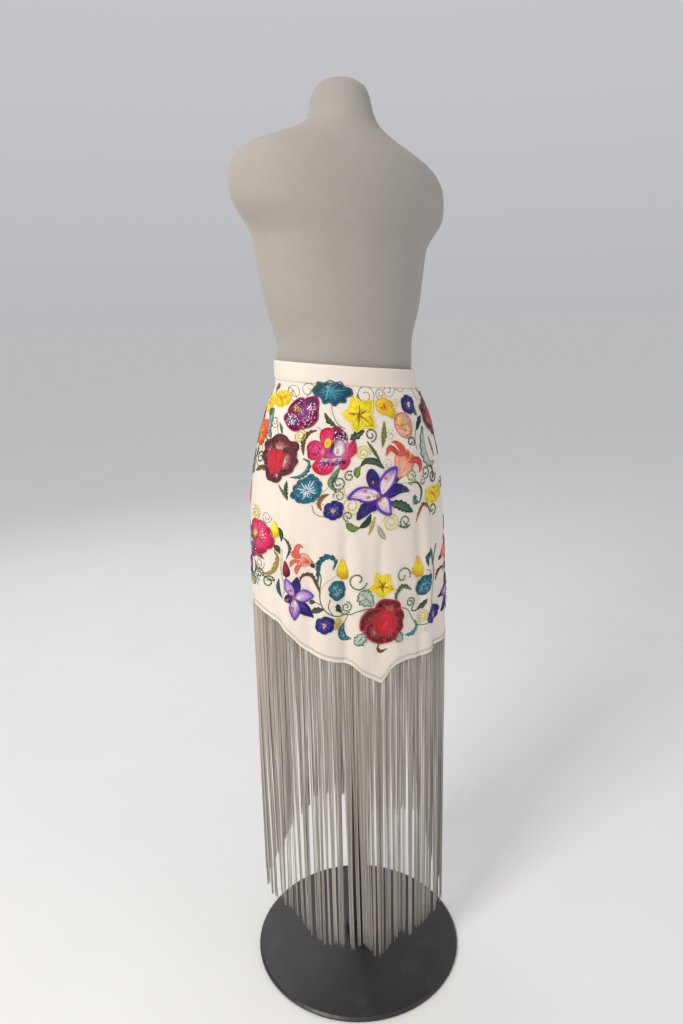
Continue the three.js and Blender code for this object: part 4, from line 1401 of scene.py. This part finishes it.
LOWER_FLOWERS = [
    (magenta_bloom, 212, 241), (yellow_bud, 180, 224), (coral_bell, 138, 272), (bud, 158, 287),
    (tall_lily, 145, 335), (blue_bloom, 96, 382), (yellow_bell, 65, 293), (teal_bloom, 75, 324),
    (small_star, -5, 328), (red_rose, -4, 389), (yellow_bell, -79, 312, -8, 1.05, False, 1.4),
    (teal_fan, -95, 347, 0, 1, False, 1.25), (blue_bloom, -122, 406, 0, 1.05, False, 1.3),
    (tall_lily, -178, 378, 0, 0.95, True), (coral_bell, -172, 300, 0, 1, True),
    (blue_bloom, 262, 300), (yellow_bell, 300, 232), (red_rose, 318, 286, 0, 0.7), (teal_bloom, 362, 252),
    (small_star, 398, 214), (magenta_bloom, 444, 226, 0, 0.7, True), (tall_lily, -456, 220, 0, 0.75),
    (yellow_bell, -412, 218), (red_rose, -372, 262, 0, 0.62), (blue_bloom, -330, 290),
    (teal_fan, -308, 240), (coral_bell, -262, 280, 0, 1, True), (small_star, -232, 330, 10, 0.9),
    (bud, -214, 262), (magenta_bloom, -262, 366, 0, 0.7),
]


def upper_back_leaves(works):
    g = Ground(works, 26, 45)
    leaf(g, [(7, -25), (-4, -30), (-17, -37)], 15, SAGE, FOREST, teeth=3)
    leaf(g, [(11, -42), (20, -58), (32, -75)], 9, LEAF, OLIVE, sides=(1, 0.3), teeth=8)
    leaf(g, [(43, -14), (41, -34), (37, -53)], 11, LIME, OLIVE, teeth=6)
    leaf(g, [(38, -87), (22, -76), (6, -74), (-3, -80)], 14, SAGE, FOREST, sides=(0.5, 1))
    leaf(g, [(-3, -80), (-8, -86), (-9, -97)], 11, LIME, LEAF)
    leaf(g, [(112, -34), (119, -24), (130, -13)], 14, FOREST, FOREST, teeth=2)
    vine(g, [(130, -13), (122, -22), (110, -34), (106, -50), (110, -66)], FOREST, GREEN)
    leaf(g, [(130, -30), (126, -52), (130, -76), (146, -94), (160, -92)], 20, WHITE, MINT,
         sides=(0.7, 1), teeth=7, rim=GREEN, vein=FOREST)
    leaf(g, [(148, -50), (156, -66), (165, -84)], 7, BLUSH, GREEN, teeth=8)
    leaf(g, [(-54, 5), (-48, -6), (-39, -14)], 13, SAGE, FOREST, sides=(0.5, 1), teeth=3)
    vine(g, [(-43, 20), (-42, 4), (-33, -14), (-24, -20)], BROWN, LIME, 0.7)
    vine(g, [(-39, -14), (-30, -18)], SLATE, SAGE)
    leaf(g, [(-69, -21), (-80, -25), (-88, -34), (-93, -58)], 13, TAN, BROWN, sides=(0.25, 1), teeth=9)
    vine(g, [(-68, -15), (-62, -20), (-57, -26)], SLATE, SAGE, 0.6)
    leaf(g, [(-93, -64), (-86, -70), (-90, -82), (-100, -90), (-116, -93)], 12, TEAL_PALE,
         GREEN * 0.8, sides=(1, 0.2), teeth=9)
    leaf(g, [(-123, -129), (-126, -112), (-122, -99)], 12, SAGE, FOREST, sides=(0.4, 1), teeth=5)
    leaf(g, [(-123, -129), (-131, -116), (-137, -105)], 5, LIME, GREEN, teeth=6)
    leaf(g, [(-36, -78), (-46, -90), (-54, -102), (-44, -118)], 13, LIME, TEAL_DEEP, sides=(1, 0.4))
    leaf(g, [(-143, 10), (-150, -6), (-154, -22), (-148, -37)], 15, SILVER, SLATE, teeth=5)
    leaf(g, [(-143, 10), (-150, 6), (-157, 0)], 12, SAGE, FOREST, teeth=4)
    vine(g, [(-139, -2), (-135, -14), (-134, -27)], SLATE, FOREST, 0.55)
    leaf(g, [(-130, -10), (-127, -18), (-126, -27)], 6, TAN, TEAL, teeth=5)
    leaf(g, [(-160, -82), (-170, -81), (-180, -84), (-192, -90)], 9, TAN, BROWN, teeth=5)
    leaf(g, [(43, -143), (62, -148), (93, -165)], 18, SAGE, GREEN, teeth=6, rim=FOREST, vein=FOREST)
    leaf(g, [(12, -158), (5, -170), (-8, -178)], 11, GREEN, FOREST)
    leaf(g, [(-8, -178), (-18, -178), (-30, -168)], 12, LIME, LEAF, vein=FOREST)
    leaf(g, [(24, -178), (29, -190), (37, -203)], 9, WHITE, KHAKI, vein=OLIVE)
    sequins(g, resample([(25, -180), (33, -198)], 3.2), 1.3, [SILVER, CREAM], 0.9)
    leaf(g, [(19, -163), (14, -176), (7, -191)], 7, LEMON, KHAKI, teeth=5)
    vine(g, [(52, -120), (72, -115), (91, -116)], KHAKI, SAGE, 0.55)
    cord(g, [(91, -116), (106, -119), (115, -132), (110, -154)], 2.0, GREEN * 0.7, taper=True)
    leaf(g, [(108, -152), (100, -150), (99, -138)], 13, TEAL_PALE, TEAL_DEEP, teeth=3)
    leaf(g, [(134, -95), (146, -98), (152, -110), (148, -122)], 5, GREEN, FOREST, sides=(1, 0.4))


def upper_back_curls(works):
    g = Ground(works, 8, 15)
    line_spiral(g, (0, -1), 11, 210, -1, 1.9, [(-13, 2), (-14, -9)])
    line_spiral(g, (27, 0), 5.5, 40, 1, 1.6)
    line_spiral(g, (43, 3), 5, 200, 1, 0.9)
    cord(g, [(34, 5), (38, -5), (46, -7), (54, -1), (58, 5), (64, 2), (72, -1), (79, 5)], 0.42, SLATE)
    line_spiral(g, (-113, 7), 8.5, 30, 1, 1.7, [(-123, 14), (-127, 4)])
    line_spiral(g, (-90, 10), 8.5, 150, -1, 1.7, [(-78, 17)])
    leaf(g, [(-150, 10), (-143, 19)], 9, SAGE, SLATE, teeth=3)
    leaf(g, [(-154, 6), (-150, 15)], 7, SAGE, SLATE, teeth=3)
    cord(g, [(-147, 6), (-150, -6), (-142, -12)], 0.45, SLATE)
    cord(g, [(101, 6), (106, -6), (116, -18), (120, -20)], 0.45, SAGE)
    cord(g, [(118, 2), (128, -8), (134, -16)], 1.0, LEAF, taper=True)
    leaf(g, [(92, -28), (98, -34), (103, -41)], 8, LIME, FOREST)
    g = Ground(works, -1, 177)
    beaded_spiral(g, (21, -44), 12, 90)
    beaded_spiral(g, (-47, -8), 13, 10)
    beaded_spiral(g, (-21, 73), 9, 60, -1)
    stitched_spiral(g, (50, -46), 9, 100, 1, 1.6, [(40, -54), (34, -48)])
    stitched_spiral(g, (66, 26), 9, 190, -1, 1.9, [(66, 12)], (SAGE, LIME))
    stitched_spiral(g, (104, 27), 8, 20, -1, 1.3, (), (FOREST, SAGE))
    stitched_spiral(g, (126, 17), 8.5, 200, 1, 1.5, (), (FOREST, OLIVE))
    stitched_spiral(g, (94, 14), 6, 0, 1, 1.3, (), (KHAKI, SAGE))
    stitched_spiral(g, (160, -2), 8, 0, 1, 1.2)
    for centre, radius, start, hand, turns, tones in (
            ((124, -40), 8, 30, -1, 1.3, (SAGE, FOREST)),
            ((50, 6), 5, 30, -1, 1.2, (LEAF, OLIVE)),
            ((-5, 100), 8, 120, -1, 1.6, (SLATE, FOREST)),
            ((-64, 29), 9.5, 60, -1, 1.9, (FOREST, SAGE)),
            ((-65, 8), 7, 10, 1, 1.5, (KHAKI, SAGE)),
            ((-46, 38), 6.5, 200, -1, 1.4, (FOREST, OLIVE)),
            ((-52, -25), 6.5, 90, 1, 1.5, (GREEN, SAGE)),
            ((71, 81), 7, 60, -1, 1.3, (FOREST, TEAL_DEEP))):
        stitched_spiral(g, centre, radius, start, hand, turns, (), tones)
    beads(g, spiral((31, 96), 7.5, 1.4, 200, -1), 0.7, [LIME, OLIVE])
    beads(g, spiral((21, 51), 9, 1.5, 80, 1), 0.7, [LIME, LEAF, SAGE])
    beads(g, spiral((48, 145), 7, 1.7, 160, -1), 0.75, [GOLD, KHAKI])
    beads(g, resample([(-57, 24), (-53, 6), (-46, -2)], 2.2), 0.7, [OLIVE, KHAKI])
    beads(g, resample([(-79, 25), (-100, 2), (-84, -8)], 2.4), 0.75, [SAGE, LIME])
    leaf(g, [(77, -52), (82, -41), (94, -27), (108, -34), (116, -48)], 11, TAN, HONEY * 0.7,
         sides=(1, 0.3), teeth=7)
    g = Ground(works, 97, 176)
    leaf(g, [(-1, -14), (-4, -5), (1, 5), (11, 11)], 13, HONEY, TAN * 0.8, sides=(1, 0.35), teeth=8)
    beads(g, resample([(-16, -6), (-12, -18), (2, -24), (10, -22)], 2.0), 0.85, [SLATE, OLIVE])
    g = Ground(works, 178, 108)
    beaded_spiral(g, (29, 34), 7.5, 30)
    stitched_spiral(g, (-28, 34), 7, 200, 1, 1.3, (), (FOREST, SLATE))
    stitched_spiral(g, (-30, -18), 5, 0, 1, 1.3, (), (LEAF, FOREST))
    line_spiral(g, (-48, 8), 7, 20, 1)
    line_spiral(g, (-20, 54), 6, 90, 1)


def lower_back_leaves(works):
    g = Ground(works, 103, 318)
    vine(g, [(-14, 47), (-1, 29), (3, 18), (1, 2), (0, -12), (2, -27), (20, -48), (34, -51), (49, -46)],
         BROWN, LEAF, 0.95)
    beads(g, resample([(25, 18), (12, 10), (5, 2), (1, -12)], 2.1), 0.65, [OLIVE, KHAKI])
    vine(g, [(17, -20), (14, -34), (21, -48)], FOREST, LEAF)
    vine(g, [(46, -50), (40, -62), (24, -73), (15, -70)], LEAF, OLIVE, 0.7)
    leaf(g, [(38, -64), (34, -78), (38, -90), (50, -93)], 12, TEAL_PALE, TEAL_DEEP)
    sequins(g, resample([(37, -70), (35, -80), (40, -89)], 2.6), 1.2, [TEAL_PALE, TEAL, SILVER], 0.8)
    leaf(g, [(7, -36), (-4, -38), (-16, -43)], 12, SAGE, FOREST, teeth=4)
    leaf(g, [(35, -45), (30, -38), (28, -29)], 10, GREEN, FOREST, teeth=3)
    stitched_spiral(g, (43, -37), 7, 230, 1, 1.6, (), (GREEN, SAGE))
    vine(g, [(-17, -24), (-8, -25), (2, -29)], FOREST, LEAF)
    leaf(g, [(-8, -25), (-13, -25), (-18, -28)], 8, LEAF, GREEN)
    petal((27, -72), (28, -53), 13).satin(g, [(0, KHAKI), (1, STRAW)])
    leaf(g, [(-2, 10), (-1, 27), (3, 44), (15, 51), (26, 44), (22, 30)], 14, TEAL,
         TEAL_DEEP * 0.8, sides=(1, 0.5), teeth=9)
    sequins(g, resample([(3, 46), (15, 53), (27, 46), (24, 32)], 2.4), 1.1, [TEAL_PALE, TEAL], 1.1)
    leaf(g, [(0, -8), (-6, 6), (-16, 20), (-26, 20), (-34, 8)], 12, TAN, BROWN, sides=(0.3, 1), teeth=10)
    g = Ground(works, 190, 281)
    line_spiral(g, (-20, -4), 7, 90, 1, 1.8)
    leaf(g, [(-13, -20), (4, -16), (12, -2), (14, 10), (8, 22)], 12, STRAW, TAN, sides=(1, 0.5), teeth=6)
    vine(g, [(-40, 0), (-32, -10), (-17, -20)], OLIVE, LEAF)
    stitched_spiral(g, (-29, -33), 7, 80, 1, 1.6, (), (TEAL, SILVER))
    stitched_spiral(g, (-2, -32), 8, 200, -1, 1.5, [(-14, -22)], (LEAF, FOREST))
    leaf(g, [(15, -26), (13, -40), (17, -52), (24, -58)], 9, TEAL, TEAL_DEEP, sides=(1, 0.5))
    beads(g, resample([(21, 26), (20, 4), (19, -12), (26, -34), (25, -52)], 2.0), 0.6, [OLIVE, KHAKI])
    vine(g, [(24, 26), (23, 2), (21, -12), (29, -34), (28, -48)], SLATE, SAGE, 0.5)
    leaf(g, [(-40, 8), (-26, 11), (-9, 6)], 12, LIME, GREEN, sides=(1, 0.5), teeth=4)
    g = Ground(works, 169, 226)
    leaf(g, [(1, -16), (1, -6), (-4, 5)], 10, LEAF, FOREST)
    leaf(g, [(-3, -38), (-6, -31), (-12, -24)], 9, SAGE, FOREST)
    leaf(g, [(4, -9), (11, -13), (17, -26), (12, -44)], 9, SAGE, FOREST, sides=(0.8, 0.2), teeth=8)
    beaded_spiral(g, (-52, 24), 9.5, 40)
    line_spiral(g, (-26, 21), 6.5, 80, 1, 1.8)
    g = Ground(works, -4, 389)
    leaf(g, [(-16, 31), (-27, 43), (-40, 59)], 30, WHITE, MINT, teeth=5, rim=GREEN, vein=GREEN)
    leaf(g, [(-30, -13), (-38, -22), (-50, -33)], 24, WHITE, MINT, teeth=4, rim=GREEN, vein=GREEN)
    sequins(g, resample([(-20, 36), (-38, 56)], 2.2), 1.1, [SILVER, WHITE, TEAL_PALE], 0.9)
    sequins(g, resample([(-36, -18), (-46, -31)], 3), 1.2, [SILVER, TEAL_PALE], 0.9)
    leaf(g, [(23, -24), (29, -32), (37, -42)], 20, WHITE, MINT, teeth=4, rim=GREEN, vein=GREEN)
    leaf(g, [(-6, -40), (-10, -47), (-5, -55), (8, -51)], 9, TAN, BROWN, sides=(1, 0.4), teeth=6)
    leaf(g, [(26, 30), (27, 42), (39, 52), (60, 44)], 15, LIME, GREEN, sides=(1, 0.3), teeth=10)
    vine(g, [(-18, 26), (-32, 27), (-46, 25), (-60, 20), (-72, 24)], GREEN, SAGE, 0.9)
    vine(g, [(38, 17), (50, 11), (62, -10), (72, -22), (85, -27), (109, -25)], GREEN, LEAF, 0.8)
    leaf(g, [(66, -13), (71, -26), (62, -34), (45, -35)], 14, TEAL_PALE, TEAL, sides=(0.9, 0.6), teeth=4)
    sequins(g, resample([(67, -16), (70, -25), (60, -33)], 2.8), 1.1, [TEAL_PALE, SILVER], 0.9)
    leaf(g, [(73, 4), (84, 8), (95, 19)], 11, SAGE, FOREST, teeth=3)
    stitched_spiral(g, (57, 22), 6.5, 200, -1, 1.5, [(60, 6), (73, 4)], (GREEN, SAGE))
    beaded_spiral(g, (84, -11), 9, 10)
    beads(g, spiral((92, -36), 7, 1.5, 40, 1), 0.6, [KHAKI, STRAW])
    vine(g, [(92, 72), (106, 66), (118, 50)], BROWN, SLATE, 0.6)
    vine(g, [(132, 108), (126, 72), (128, 48), (119, 30), (111, 8), (101, -5)], BROWN, SAGE, 0.9)
    leaf(g, [(98, 78), (97, 92), (110, 98), (120, 88), (122, 72)], 15, TEAL, TEAL_DEEP * 0.7, teeth=5)
    sequins(g, disc(g.sequin, (104, 92), 4, 8), 1.1, [SILVER, TEAL_PALE], 0.9)
    leaf(g, [(132, 42), (140, 58), (150, 60), (156, 50)], 9, TAN, BROWN, sides=(1, 0.4), teeth=6)
    leaf(g, [(138, 8), (150, 12), (160, 22)], 12, GREEN, FOREST, teeth=3)
    g = Ground(works, -5, 328)
    stitched_spiral(g, (-44, 18), 13, 250, 1, 1.25, (), (FOREST, GREEN))
    stitched_spiral(g, (40, 12), 12, 60, -1, 1.25, (), (GREEN, SAGE))


def spray(g):
    """A filler of leaves and curls for the sides and front."""
    vine(g, [(-26, -8), (-10, 0), (8, 2), (24, -6)], BROWN, LEAF, 0.8)
    leaf(g, [(-10, 0), (-16, 10), (-26, 18)], 14, SAGE, FOREST, teeth=5)
    leaf(g, [(6, 2), (14, 12), (12, 26)], 11, TAN, BROWN, sides=(1, 0.3), teeth=8)
    leaf(g, [(0, 1), (6, -10), (2, -22)], 12, LIME, LEAF)
    stitched_spiral(g, (28, 8), 8, 200, -1, 1.6)
    beaded_spiral(g, (-20, -20), 8, 40)


SPRAYS = [
    (258, 120), (318, 92, 30), (300, 20, -20, 0.8), (378, 80, 0, 0.9, True), (388, 176, 0, 1, True),
    (352, 186, 20), (450, 122, 10), (428, 20, 10, 0.7), (-436, 44, 0, 0.8), (-368, 24, 0, 0.7, True),
    (-366, 152, 40), (-438, 150, 0, 0.9), (-300, 62, 30, 0.8, True), (-290, 134, 0, 1, True),
    (-246, 188, 0, 0.9), (-210, 30, 20, 0.8), (-268, 214, 0, 0.9, True), (276, 250, 10, 0.9),
    (340, 232, 0, 0.8, True), (282, 316, -30, 0.9), (372, 286, 0, 0.7), (424, 190, 0, 0.8, True),
    (-436, 186, 0, 0.8), (-412, 248, 0, 0.7, True), (-344, 226, 0, 0.9), (-286, 318, 0, 0.9, True),
    (-240, 296, 20, 0.8), (-222, 392, 0, 0.9), (-196, 338, 0, 0.8, True), (236, 308, 0, 0.9),
]


def thread_silk():
    """Glossy embroidery silk, dyed thread by thread, with a fine twist and painted shade in stripes that
    follow the twist.
    """
    finish = Finish("embroidery_silk", (0.5, 0.5, 0.5), 0.34, sheen=0.12)
    dyed = finish.node("VertexColor", layer_name="dye")
    twist = finish.twist(0.9)
    dim = finish.blend(1.0, dyed.outputs[0], (0.7, 0.7, 0.7, 1), "MULTIPLY")
    # Painted shade: the dye is darkened in slanting stripes that follow the twist of the plies.
    finish.use_colour(finish.blend(finish.range(twist, -1, 1, 0.0, 0.45), dyed.outputs[0], dim))
    finish.use_bump(twist, 0.00008, 0.6)
    return finish.material


def dyed_gloss(name, roughness, metallic):
    """The glossy face of beads and sequins, coloured piece by piece, with a soft mottle."""
    finish = Finish(name, (0.5, 0.5, 0.5), roughness, metallic=metallic)
    dyed = finish.node("VertexColor", layer_name="dye")
    mottle = finish.noise(finish.object_place(), 900.0, 2.0)
    dim = finish.blend(1.0, dyed.outputs[0], (0.75, 0.75, 0.78, 1), "MULTIPLY")
    finish.use_colour(finish.blend(mottle, dyed.outputs[0], dim))
    finish.use_roughness(finish.range(mottle, 0.3, 0.7, roughness, roughness + 0.12))
    return finish.material


def glass_bead():
    return dyed_gloss("glass_bead", 0.18, 0.0)


def foil_sequin():
    return dyed_gloss("foil_sequin", 0.14, 0.45)


def embroider(name, seed, draw, *charts):
    """Draws motifs in thread, beads and sequins, and makes a mesh of each."""
    works = [Needlework(seed + k) for k in range(3)]
    draw(works, *charts)
    for work, kind, finish in zip(works, ("threads", "beads", "sequins"),
                                  (thread_silk, glass_bead, foil_sequin)):
        if work.count:
            work.finish(f"{name}_{kind}", finish())


def draw_flowers(works, chart):
    for motif, *place in chart:
        motif(Ground(works, *place))


def draw_sprays(works, chart):
    for place in chart:
        spray(Ground(works, *place))


class SKIRT_OT_upper_flowers(bpy.types.Operator):
    """Embroiders the flowers of the upper band"""
    bl_idname = "skirt.upper_flowers"
    bl_label = "Upper flowers"

    def execute(self, context):
        back = [row for row in UPPER_FLOWERS if abs(row[1]) < FRONT_START]
        front = [row for row in UPPER_FLOWERS if abs(row[1]) >= FRONT_START]
        embroider("upper_flowers", 11, draw_flowers, back)
        embroider("upper_front_flowers", 21, draw_flowers, front)
        return {"FINISHED"}


class SKIRT_OT_lower_flowers(bpy.types.Operator):
    """Embroiders the flowers of the lower band"""
    bl_idname = "skirt.lower_flowers"
    bl_label = "Lower flowers"

    def execute(self, context):
        embroider("lower_flowers", 31, draw_flowers, LOWER_FLOWERS)
        return {"FINISHED"}


class SKIRT_OT_leaves(bpy.types.Operator):
    """Embroiders the leaves, stems and curls between the flowers"""
    bl_idname = "skirt.leaves"
    bl_label = "Leaves and curls"

    def execute(self, context):
        embroider("upper_leaves", 41, upper_back_leaves)
        embroider("upper_curls", 51, upper_back_curls)
        embroider("lower_leaves", 61, lower_back_leaves)
        embroider("front_leaves", 71, draw_sprays, SPRAYS)
        return {"FINISHED"}


# ---- dress form and stand --------------------------------------------------------------
def posture(x, y, z):
    """Turns and tilts the chest over the hips, and leaves the neck's height alone."""
    share = smooth_step(z / POSTURE_RISE)
    turn = np.radians(FORM_TWIST) * share
    turned_x = x * np.cos(turn) - y * np.sin(turn)
    turned_y = x * np.sin(turn) + y * np.cos(turn)
    shoulder = 1 - np.clip((z - NECK_START) / NECK_BLEND, 0, 1)
    lift = turned_x * np.tan(np.radians(FORM_TILT) * share) * shoulder
    waist = bpy.context.scene.skirt_cut.waist_height
    return np.stack([turned_x, turned_y, waist + z + lift], -1)


class SKIRT_OT_form(bpy.types.Operator):
    """Makes the linen covered dress form"""
    bl_idname = "skirt.form"
    bl_label = "Dress form"

    def execute(self, context):
        table = np.array(FORM_SECTIONS, float)
        heights = np.concatenate([np.linspace(a, b, max(2, int((b - a) / 7) + 1))[:-1]
                                  for a, b in zip(table[:-1, 0], table[1:, 0])] + [table[-1:, 0]])
        wide, behind, before, lean = (smooth_curve(table[:, [0, k]]) for k in (1, 2, 3, 4))
        sides = 112
        angle = np.linspace(0, 2 * math.pi, sides + 1)[:-1, None]
        z = np.broadcast_to(heights[None, :], (sides, len(heights)))
        depth = np.where(np.cos(angle) > 0, behind(heights), before(heights))
        points = posture(wide(heights) * np.sin(angle), depth * np.cos(angle) + lean(heights), z)
        rows = len(heights)
        cut = np.stack([np.broadcast_to(angle * FORM_ROUND, z.shape), z * MM], -1).reshape(-1, 2)
        flat = points.reshape(-1, 3)
        ids = np.arange(sides * rows).reshape(sides, rows)
        low, high = len(flat), len(flat) + 1
        flat = np.concatenate([flat, [points[:, 0].mean(0)], [points[:, -1].mean(0)]])
        cut = np.concatenate([cut, cut[:2]])
        nxt = np.roll(np.arange(sides), -1)
        bottom = np.stack([np.full(sides, low), ids[:, 0], ids[nxt, 0]], 1)
        top = np.stack([np.full(sides, high), ids[nxt, -1], ids[:, -1]], 1)
        faces = [grid_faces(sides, rows, 0, True, True), bottom, top]
        form = make_object("linen_form", flat, faces, linen_finish(), cut=cut,
                           round_trip=math.tau * FORM_ROUND)
        take_place(form, "form_body")
        return {"FINISHED"}


class SKIRT_OT_stand(bpy.types.Operator):
    """Gives the stand its paint"""
    bl_idname = "skirt.stand"
    bl_label = "Stand"

    def execute(self, context):
        paint = metal_finish()
        for node in ("form_flange", "stand_pole", "stand_collar", "stand_base"):
            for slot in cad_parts[node].material_slots:
                slot.material = paint
        return {"FINISHED"}


# ---- stage -----------------------------------------------------------------------------
CAMERA_AZIMUTH = 156.0
CAMERA_DISTANCE = 1300.0
CAMERA_OVER_WAIST = 119.0
CAMERA_PITCH = 14.9
CAMERA_ROLL = -1.4
CAMERA_AIM = 0.58
CAMERA_LENS = 27.04
FLOOR_REACH = 60000


def add_camera(waist):
    data = bpy.data.cameras.new("camera")
    data.lens = CAMERA_LENS
    data.sensor_width = 36.0
    camera = bpy.data.objects.new("camera", data)
    bpy.context.collection.objects.link(camera)
    azimuth = math.radians(CAMERA_AZIMUTH)
    place = Vector((math.sin(azimuth), -math.cos(azimuth), 0)) * CAMERA_DISTANCE * MM
    place.z = (waist + CAMERA_OVER_WAIST) * MM
    turn = Matrix.Rotation(math.radians(CAMERA_AZIMUTH + CAMERA_AIM), 4, "Z")
    tilt = Matrix.Rotation(math.radians(90 - CAMERA_PITCH), 4, "X")
    roll = Matrix.Rotation(math.radians(CAMERA_ROLL), 4, "Z")
    camera.matrix_world = Matrix.Translation(place) @ turn @ tilt @ roll
    bpy.context.scene.camera = camera


def add_light(name, place, aim, size, power, colour):
    data = bpy.data.lights.new(name, "AREA")
    data.shape = "RECTANGLE"
    data.size, data.size_y = size
    data.energy = power
    data.color = colour
    light = bpy.data.objects.new(name, data)
    bpy.context.collection.objects.link(light)
    light.location = place
    light.rotation_euler = (Vector(aim) - Vector(place)).to_track_quat("-Z", "Y").to_euler()


class SKIRT_OT_stage(bpy.types.Operator):
    """Makes the pale floor, the soft lights and the camera"""
    bl_idname = "skirt.stage"
    bl_label = "Stage"

    def execute(self, context):
        finish = Finish("stage_floor", (0.8, 0.79, 0.77), 0.8)
        place = finish.object_place()
        drift = finish.noise(place, 3.0, 3.0)
        finish.use_colour(finish.blend(drift, (0.78, 0.77, 0.755, 1), (0.82, 0.81, 0.795, 1)))
        far = FLOOR_REACH
        points = [(-far, -far, 0), (far, -far, 0), (far, far, 0), (-far, far, 0)]
        floor = make_object("floor", points, [[(0, 1, 2, 3)]], finish.material)
        world = bpy.data.worlds.new("studio")
        world.use_nodes = True
        nodes, links = world.node_tree.nodes, world.node_tree.links
        place, split, rise = (nodes.new(kind) for kind in (
            "ShaderNodeTexCoord", "ShaderNodeSeparateXYZ", "ShaderNodeMapRange"))
        rise.inputs["From Max"].default_value = 0.6
        rise.inputs["To Min"].default_value = 0.78
        rise.inputs["To Max"].default_value = 1.0
        links.new(place.outputs["Generated"], split.inputs[0])
        links.new(split.outputs[2], rise.inputs["Value"])
        links.new(rise.outputs[0], nodes["Background"].inputs[1])
        nodes["Background"].inputs[0].default_value = (0.62, 0.63, 0.66, 1)
        context.scene.world = world
        context.scene.view_settings.view_transform = "Standard"
        add_light("key", (2.3, 1.1, 2.5), (0, 0, 1.0), (0.9, 0.9), 62, (1.0, 0.94, 0.86))
        add_light("fill", (-1.8, 2.6, 1.6), (0, 0, 0.8), (2.0, 2.0), 11, (0.95, 0.96, 1.0))
        add_light("back", (0.3, -2.8, 2.5), (0, 0, 1.0), (2.0, 2.0), 20, (1.0, 1.0, 1.0))
        add_camera(context.scene.skirt_cut.waist_height)
        return {"FINISHED"}


# ---- add-on ----------------------------------------------------------------------------
OPERATORS = (
    SKIRT_OT_stage, SKIRT_OT_form, SKIRT_OT_stand, SKIRT_OT_panels, SKIRT_OT_waistband,
    SKIRT_OT_fringe_tape, SKIRT_OT_fringe, SKIRT_OT_upper_flowers, SKIRT_OT_lower_flowers,
    SKIRT_OT_leaves,
)
SETTINGS = (("skirt_cut", SkirtCut), ("fringe_trim", FringeTrim), ("dress_form", DressForm))


class SKIRT_PT_make(bpy.types.Panel):
    """Buttons that make the skirt piece by piece"""
    bl_idname = "SKIRT_PT_make"
    bl_label = "Embroidered skirt"
    bl_space_type = "VIEW_3D"
    bl_region_type = "UI"
    bl_category = "Skirt"

    def draw(self, context):
        for name, group in SETTINGS:
            box = self.layout.box()
            for prop in group.__annotations__:
                box.prop(getattr(context.scene, name), prop)
        for operator in OPERATORS:
            self.layout.operator(operator.bl_idname)


def register():
    for name, group in SETTINGS:
        bpy.utils.register_class(group)
        setattr(bpy.types.Scene, name, PointerProperty(type=group))
    for operator in OPERATORS:
        bpy.utils.register_class(operator)
    bpy.utils.register_class(SKIRT_PT_make)


def unregister():
    bpy.utils.unregister_class(SKIRT_PT_make)
    for operator in reversed(OPERATORS):
        bpy.utils.unregister_class(operator)
    for name, group in reversed(SETTINGS):
        delattr(bpy.types.Scene, name)
        bpy.utils.unregister_class(group)


def main():
    register()
    for operator in OPERATORS:
        area, action = operator.bl_idname.split(".")
        getattr(getattr(bpy.ops, area), action)()


if __name__ == "__main__":
    main()
